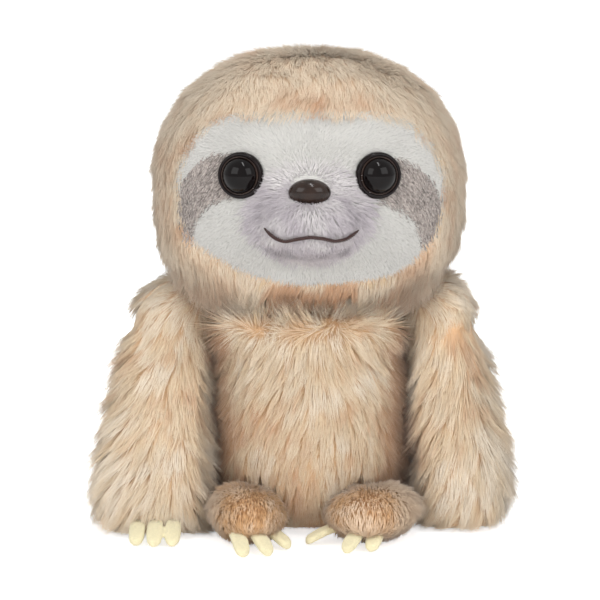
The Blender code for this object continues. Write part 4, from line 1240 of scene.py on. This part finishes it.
def felt_finish():
    """Pressed wool-look felt: matted fibres and soft clouding."""
    c = colours()
    finish, tree, shader = new_finish("pressed_cream_felt")
    place = node(tree, "ShaderNodeTexCoord").outputs["Object"]
    cloud = clouds(tree, place, 150.0, 4.0)
    mat = clouds(tree, place, 1500.0, 5.0, Roughness=0.7, Distortion=1.5)
    body = ramp(tree, cloud, ((0.3, shade_of(c.claw, 0.86)), (0.7, c.claw[:])))
    fibres = ramp(tree, mat, ((0.35, shade_of(c.claw, 0.72)), (0.6, shade_of(c.claw, 1.1))))
    tree.links.new(mixed(tree, 0.4, body, fibres), shader.inputs["Base Color"])
    grain(tree, shader, mat, 0.6, 0.0003)
    set_shader(shader, Roughness=0.92, Sheen_Weight=0.35, Sheen_Roughness=0.5)
    return finish


def build_claws(limb, side):
    """Three felt claws of one hand or foot, with cut edges worn round."""
    nodes = [f"{limb}_{side}_claw_{number}" for number in (1, 2, 3)]
    piece = voxel_copy(f"{limb}_{side}_felt_claws", CLAW_TILE, nodes)
    relaxed(piece.data, 3)
    places, outward = coordinates(piece.data), normals_of(piece.data)
    rough = 0.00006 * waves(places, 0.0016, 71) + 0.00005 * waves(places, 0.0007, 72) + 0.00008
    place_vertices(piece.data, places + outward * rough[:, None])
    shade_smooth(piece.data)
    dress(piece.data, felt_finish())
    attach(piece, ("arm_" if limb == "hand" else "foot_") + side)
    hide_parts(*nodes)


# Stage.

VIEW_DISTANCE = 1.0
LENS = 150
SENSOR_WIDTH = 36
VIEW_RISE = math.radians(9)
VIEW_AIM = Vector((-0.0036, -0.0009, 0.0892))
LAMP_AIM = (0, 0, 0.09)
PAPER_GLOW = 0.62
WORLD_LEVEL = 0.58
FLOOR_REACH = 6
FLOOR_DROP = 0.0002


def build_camera():
    lens = bpy.data.cameras.new("camera")
    lens.lens = LENS
    lens.sensor_width = SENSOR_WIDTH
    lens.clip_start = 0.01
    camera = add_object("camera", lens)
    back = Vector((0, -math.cos(VIEW_RISE), math.sin(VIEW_RISE)))
    camera.location = VIEW_AIM + back * VIEW_DISTANCE
    camera.rotation_euler = (math.pi / 2 - VIEW_RISE, 0, 0)
    bpy.context.scene.camera = camera


def soft_lamp(name, place, aim, width, watts, tall=None, glossy=True):
    lamp = bpy.data.lights.new(name, "AREA")
    lamp.shape = "RECTANGLE"
    lamp.size = width
    lamp.size_y = tall or width
    lamp.energy = watts
    holder = add_object(name, lamp)
    holder.visible_glossy = glossy
    holder.location = place
    holder.rotation_euler = (Vector(aim) - Vector(place)).to_track_quat("-Z", "Y").to_euler()


def seen_plainly(tree):
    """1 for rays of the camera, gloss and clear parts, 0 for the lamps' light."""
    paths = node(tree, "ShaderNodeLightPath").outputs
    seen = node(tree, "ShaderNodeMath", {0: paths["Is Camera Ray"], 1: paths["Is Glossy Ray"]}, operation="ADD")
    seen = node(tree, "ShaderNodeMath", {0: seen.outputs[0], 1: paths["Is Transmission Ray"]}, operation="ADD",
                use_clamp=True)
    return seen.outputs[0]


def paper_finish():
    """White studio paper: bright to the camera and to gloss, plain to the lamps, with the toy's shadow kept."""
    finish, tree, shader = new_finish("studio_paper")
    place = node(tree, "ShaderNodeTexCoord").outputs["Object"]
    pulp = clouds(tree, place, 90.0, 5.0)
    tone = ramp(tree, pulp, ((0.3, linear("#fafafa")), (0.7, linear("#fdfdfd"))))
    tree.links.new(tone, shader.inputs["Base Color"])
    set_shader(shader, Roughness=0.95, Specular_IOR_Level=0.0)
    seen = seen_plainly(tree)
    glow = node(tree, "ShaderNodeMath", {0: seen, 1: PAPER_GLOW}, operation="MULTIPLY")
    light = node(tree, "ShaderNodeEmission", {"Color": (1, 1, 1, 1), "Strength": glow.outputs[0]})
    both = node(tree, "ShaderNodeAddShader", {0: shader.outputs[0], 1: light.outputs[0]})
    tree.links.new(both.outputs[0], tree.nodes["Material Output"].inputs["Surface"])
    return finish


def build_world():
    world = bpy.data.worlds.new("studio")
    world.use_nodes = True
    bpy.context.scene.world = world
    tree = world.node_tree
    seen = seen_plainly(tree)
    level = node(tree, "ShaderNodeMapRange", {0: seen, 3: WORLD_LEVEL, 4: 1.0}).outputs[0]
    shader = tree.nodes["Background"]
    shader.inputs["Color"].default_value = (1, 1, 1, 1)
    tree.links.new(level, shader.inputs["Strength"])


def build_stage():
    corners = [(x * FLOOR_REACH, y * FLOOR_REACH, -FLOOR_DROP) for x, y in ((-1, -1), (1, -1), (1, 1), (-1, 1))]
    floor = from_points("floor", corners, [(0, 1, 2, 3)], smooth=False)
    floor.data.materials.append(paper_finish())
    build_camera()
    build_world()
    soft_lamp("left_softbox", (-1.15, -1.2, 0.95), LAMP_AIM, 1.1, 10)
    soft_lamp("right_softbox", (1.15, -1.2, 0.95), LAMP_AIM, 1.1, 10)
    soft_lamp("front_fill", (0, -1.8, 0.45), LAMP_AIM, 1.2, 10, glossy=False)
    soft_lamp("back_fill", (0, 1.6, 1.1), LAMP_AIM, 1.4, 10, glossy=False)
    soft_lamp("top_strip", (0.12, -0.35, 1.3), (0, 0, 0.12), 0.10, 3, tall=0.6)
    bpy.context.scene.view_settings.view_transform = "Standard"


# Operators.

FACE_CLOTH_INSET = 0.0004
PATCH_CLOTH_MARGIN = 0.0002


def skin_finish(limb):
    c = colours()
    # Painted shade: each backing is tinted deeper than its pile with the root colour, so the gaps between strands read
    # dark.
    if limb == "head":
        return knit_finish("hood_backing", shade_of(c.beige, 0.8), blend_tints(c.root, c.beige, 0.4))
    if limb.startswith("foot"):
        return knit_finish("foot_backing", shade_of(c.tan, 0.8), shade_of(c.root, 0.8))
    return knit_finish("plush_backing", blend_tints(c.root, c.beige, 0.75), blend_tints(c.root, c.beige, 0.35))


def paint_face_cloth(skin):
    """Gives the white face and muzzle their own backing under the velour."""
    c = colours()
    skin.data.materials.append(knit_finish("face_backing", shade_of(c.white, 0.92), shade_of(c.white, 0.78), 0.0008))
    skin.data.materials.append(knit_finish("patch_backing", c.grey[:], shade_of(c.grey, 0.7), 0.0008))
    middles = np.empty(len(skin.data.polygons) * 3, np.float32)
    skin.data.polygons.foreach_get("center", middles)
    middles = middles.reshape(-1, 3).astype(float)
    index = (face_depth(middles) > FACE_CLOTH_INSET).astype(int)
    for side in SIDES:
        index = np.where(patch_depth(middles, side) > -PATCH_CLOTH_MARGIN, 2, index)
    skin.data.polygons.foreach_set("material_index", index.astype(np.int32))


class PLUSH_OT_skins(bpy.types.Operator):
    """Makes the stuffed cloth forms of the head, neck, body, arms and feet"""
    bl_idname = "plush.skins"
    bl_label = "Stuffed skins"

    def execute(self, context):
        for limb in LIMBS + ("neck",):
            skin = build_skin(limb)
            dress(skin.data, skin_finish(limb))
            if limb == "head":
                paint_face_cloth(skin)
            SKINS[limb] = skin
            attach(skin, limb)
            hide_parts(*SKIN_NODES[limb])
        for limb in LIMBS:
            mesh = SKINS[limb].data
            SKIN_TREES[limb] = BVHTree.FromPolygons(
                [v.co[:] for v in mesh.vertices], [p.vertices[:] for p in mesh.polygons])
        return {"FINISHED"}


class PLUSH_OT_hood_pile(bpy.types.Operator):
    """Plants the combed pile of the hood"""
    bl_idname = "plush.hood_pile"
    bl_label = "Hood pile"

    def execute(self, context):
        finish = hood_plush()
        for number, (right, front) in enumerate(((True, True), (False, True), (True, False), (False, False))):
            name = f"hood_pile_{'front' if front else 'back'}_{'right' if right else 'left'}"
            plant(name, "head", finish, hood_field(right, front),
                  2.3, sizes().hood_pile, 0.0, joints=0, width=0.84, lock=0.0042,
                  gather=0.24, stray=0.13, lock_tone=0.20, strand_tone=0.22, soft=0.55, seed=11 + number)
        return {"FINISHED"}


class PLUSH_OT_arm_pile(bpy.types.Operator):
    """Plants the long shaggy pile of the arms"""
    bl_idname = "plush.arm_pile"
    bl_label = "Arm pile"

    def execute(self, context):
        finish = long_plush()
        for number, side in enumerate(SIDES):
            plant(f"arm_pile_{side}", "arm_" + side, finish, arm_field(side),
                  1.9, sizes().arm_pile, 0.0, joints=0, width=0.86, lock=0.0055, gather=0.34, stray=0.10,
                  lock_tone=0.24, strand_tone=0.14, soft=0.68, seed=21 + number)
        return {"FINISHED"}


class PLUSH_OT_body_pile(bpy.types.Operator):
    """Plants the pile of the body, parted down its front"""
    bl_idname = "plush.body_pile"
    bl_label = "Body pile"

    def execute(self, context):
        finish = long_plush()
        for number, front in enumerate((True, False)):
            plant(f"body_pile_{'front' if front else 'back'}", "body", finish, body_field(front),
                  1.9, sizes().body_pile, 0.0, joints=0, width=0.80, lock=0.0050, gather=0.30, stray=0.10,
                  lock_tone=0.22, strand_tone=0.14, soft=0.68, seed=31 + number)
        return {"FINISHED"}


class PLUSH_OT_foot_pile(bpy.types.Operator):
    """Plants the short tan pile of the feet"""
    bl_idname = "plush.foot_pile"
    bl_label = "Foot pile"

    def execute(self, context):
        finish = tan_plush()
        for number, side in enumerate(SIDES):
            plant(f"foot_pile_{side}", "foot_" + side, finish, foot_field(side),
                  1.6, sizes().foot_pile, 0.12, width=0.85, lock=0.0030, gather=0.22, stray=0.14,
                  lock_tone=0.26, strand_tone=0.30, soft=0.75, seed=41 + number)
        return {"FINISHED"}


class PLUSH_OT_face_pile(bpy.types.Operator):
    """Plants the velour of the face and the longer pile of the muzzle"""
    bl_idname = "plush.face_pile"
    bl_label = "Face and muzzle pile"

    def execute(self, context):
        plant("face_pile", "head", velour(), face_field, 4.2, sizes().face_pile,
              0.0, joints=0, width=0.9, lock=0.0022, gather=0.14, stray=0.18, lock_tone=0.10, strand_tone=0.20,
              soft=0.50, seed=51)
        plant("muzzle_pile", "head", muzzle_plush(), muzzle_field, 3.0,
              sizes().muzzle_pile, 0.11, width=0.68, lock=0.0028, gather=0.20, stray=0.14, lock_tone=0.18,
              strand_tone=0.26, soft=0.6, seed=52)
        return {"FINISHED"}


class PLUSH_OT_patches(bpy.types.Operator):
    """Stitches the grey patches beside the eyes"""
    bl_idname = "plush.patches"
    bl_label = "Eye patches"

    def execute(self, context):
        finish = patch_thread()
        for number, side in enumerate(SIDES):
            piece = plant(f"stitched_patch_{side}", "head", finish, patch_field(side),
                          2.4, sizes().patch_stitch, 0.14, width=1.25, lock=0.0012, gather=0.03,
                          stray=0.04, lock_tone=0.25, strand_tone=0.95, soft=0.1, seed=61 + number)
            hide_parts("eye_patch_" + side)
        return {"FINISHED"}


class PLUSH_OT_eyes(bpy.types.Operator):
    """Turns the two safety eyes"""
    bl_idname = "plush.eyes"
    bl_label = "Eyes"

    def execute(self, context):
        for side in SIDES:
            build_eye(side)
        return {"FINISHED"}


class PLUSH_OT_nose(bpy.types.Operator):
    """Moulds the nose"""
    bl_idname = "plush.nose"
    bl_label = "Nose"

    def execute(self, context):
        build_nose()
        return {"FINISHED"}


class PLUSH_OT_mouth(bpy.types.Operator):
    """Lays the mouth's yarn"""
    bl_idname = "plush.mouth"
    bl_label = "Mouth"

    def execute(self, context):
        build_mouth()
        return {"FINISHED"}


class PLUSH_OT_claws(bpy.types.Operator):
    """Cuts the felt claws of the hands and feet"""
    bl_idname = "plush.claws"
    bl_label = "Claws"

    def execute(self, context):
        for side in SIDES:
            for limb in ("hand", "foot"):
                build_claws(limb, side)
        return {"FINISHED"}


class PLUSH_OT_washers(bpy.types.Operator):
    """Gives the washers behind the eyes and nose their plastic"""
    bl_idname = "plush.washers"
    bl_label = "Washers"

    def execute(self, context):
        finish = moulded_finish("washer_polyethylene", linear("#e4e2da"), linear("#cfccc2"), 0.42, 0.0, 700.0)
        for name in ("eye_washer_right", "eye_washer_left", "nose_washer"):
            dress(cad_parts[name].data, finish)
        return {"FINISHED"}


class PLUSH_OT_stage(bpy.types.Operator):
    """Sets the floor, lamps and camera"""
    bl_idname = "plush.stage"
    bl_label = "Stage"

    def execute(self, context):
        build_stage()
        return {"FINISHED"}


# In the order in which they have to run.
OPERATORS = (PLUSH_OT_stage, PLUSH_OT_skins, PLUSH_OT_hood_pile, PLUSH_OT_arm_pile, PLUSH_OT_body_pile,
             PLUSH_OT_foot_pile, PLUSH_OT_face_pile, PLUSH_OT_patches, PLUSH_OT_eyes, PLUSH_OT_nose, PLUSH_OT_mouth,
             PLUSH_OT_claws, PLUSH_OT_washers)


class PLUSH_PT_panel(bpy.types.Panel):
    """Sizes, colours and pieces of the plush sloth"""
    bl_idname = "PLUSH_PT_panel"
    bl_label = "Plush sloth"
    bl_space_type = "VIEW_3D"
    bl_region_type = "UI"
    bl_category = "Plush sloth"

    def draw(self, context):
        for group in (context.scene.plush_sizes, context.scene.plush_colours):
            box = self.layout.box()
            for key in group.__annotations__:
                box.prop(group, key)
        for operator in OPERATORS:
            self.layout.operator(operator.bl_idname)


CLASSES = (PlushSizes, PlushColours) + OPERATORS + (PLUSH_PT_panel,)


def register():
    for kind in CLASSES:
        bpy.utils.register_class(kind)
    bpy.types.Scene.plush_sizes = PointerProperty(type=PlushSizes)
    bpy.types.Scene.plush_colours = PointerProperty(type=PlushColours)


def unregister():
    del bpy.types.Scene.plush_colours
    del bpy.types.Scene.plush_sizes
    for kind in reversed(CLASSES):
        bpy.utils.unregister_class(kind)


def main():
    register()
    for operator in OPERATORS:
        getattr(bpy.ops.plush, operator.bl_idname.split(".")[1])()


if __name__ == "__main__":
    main()
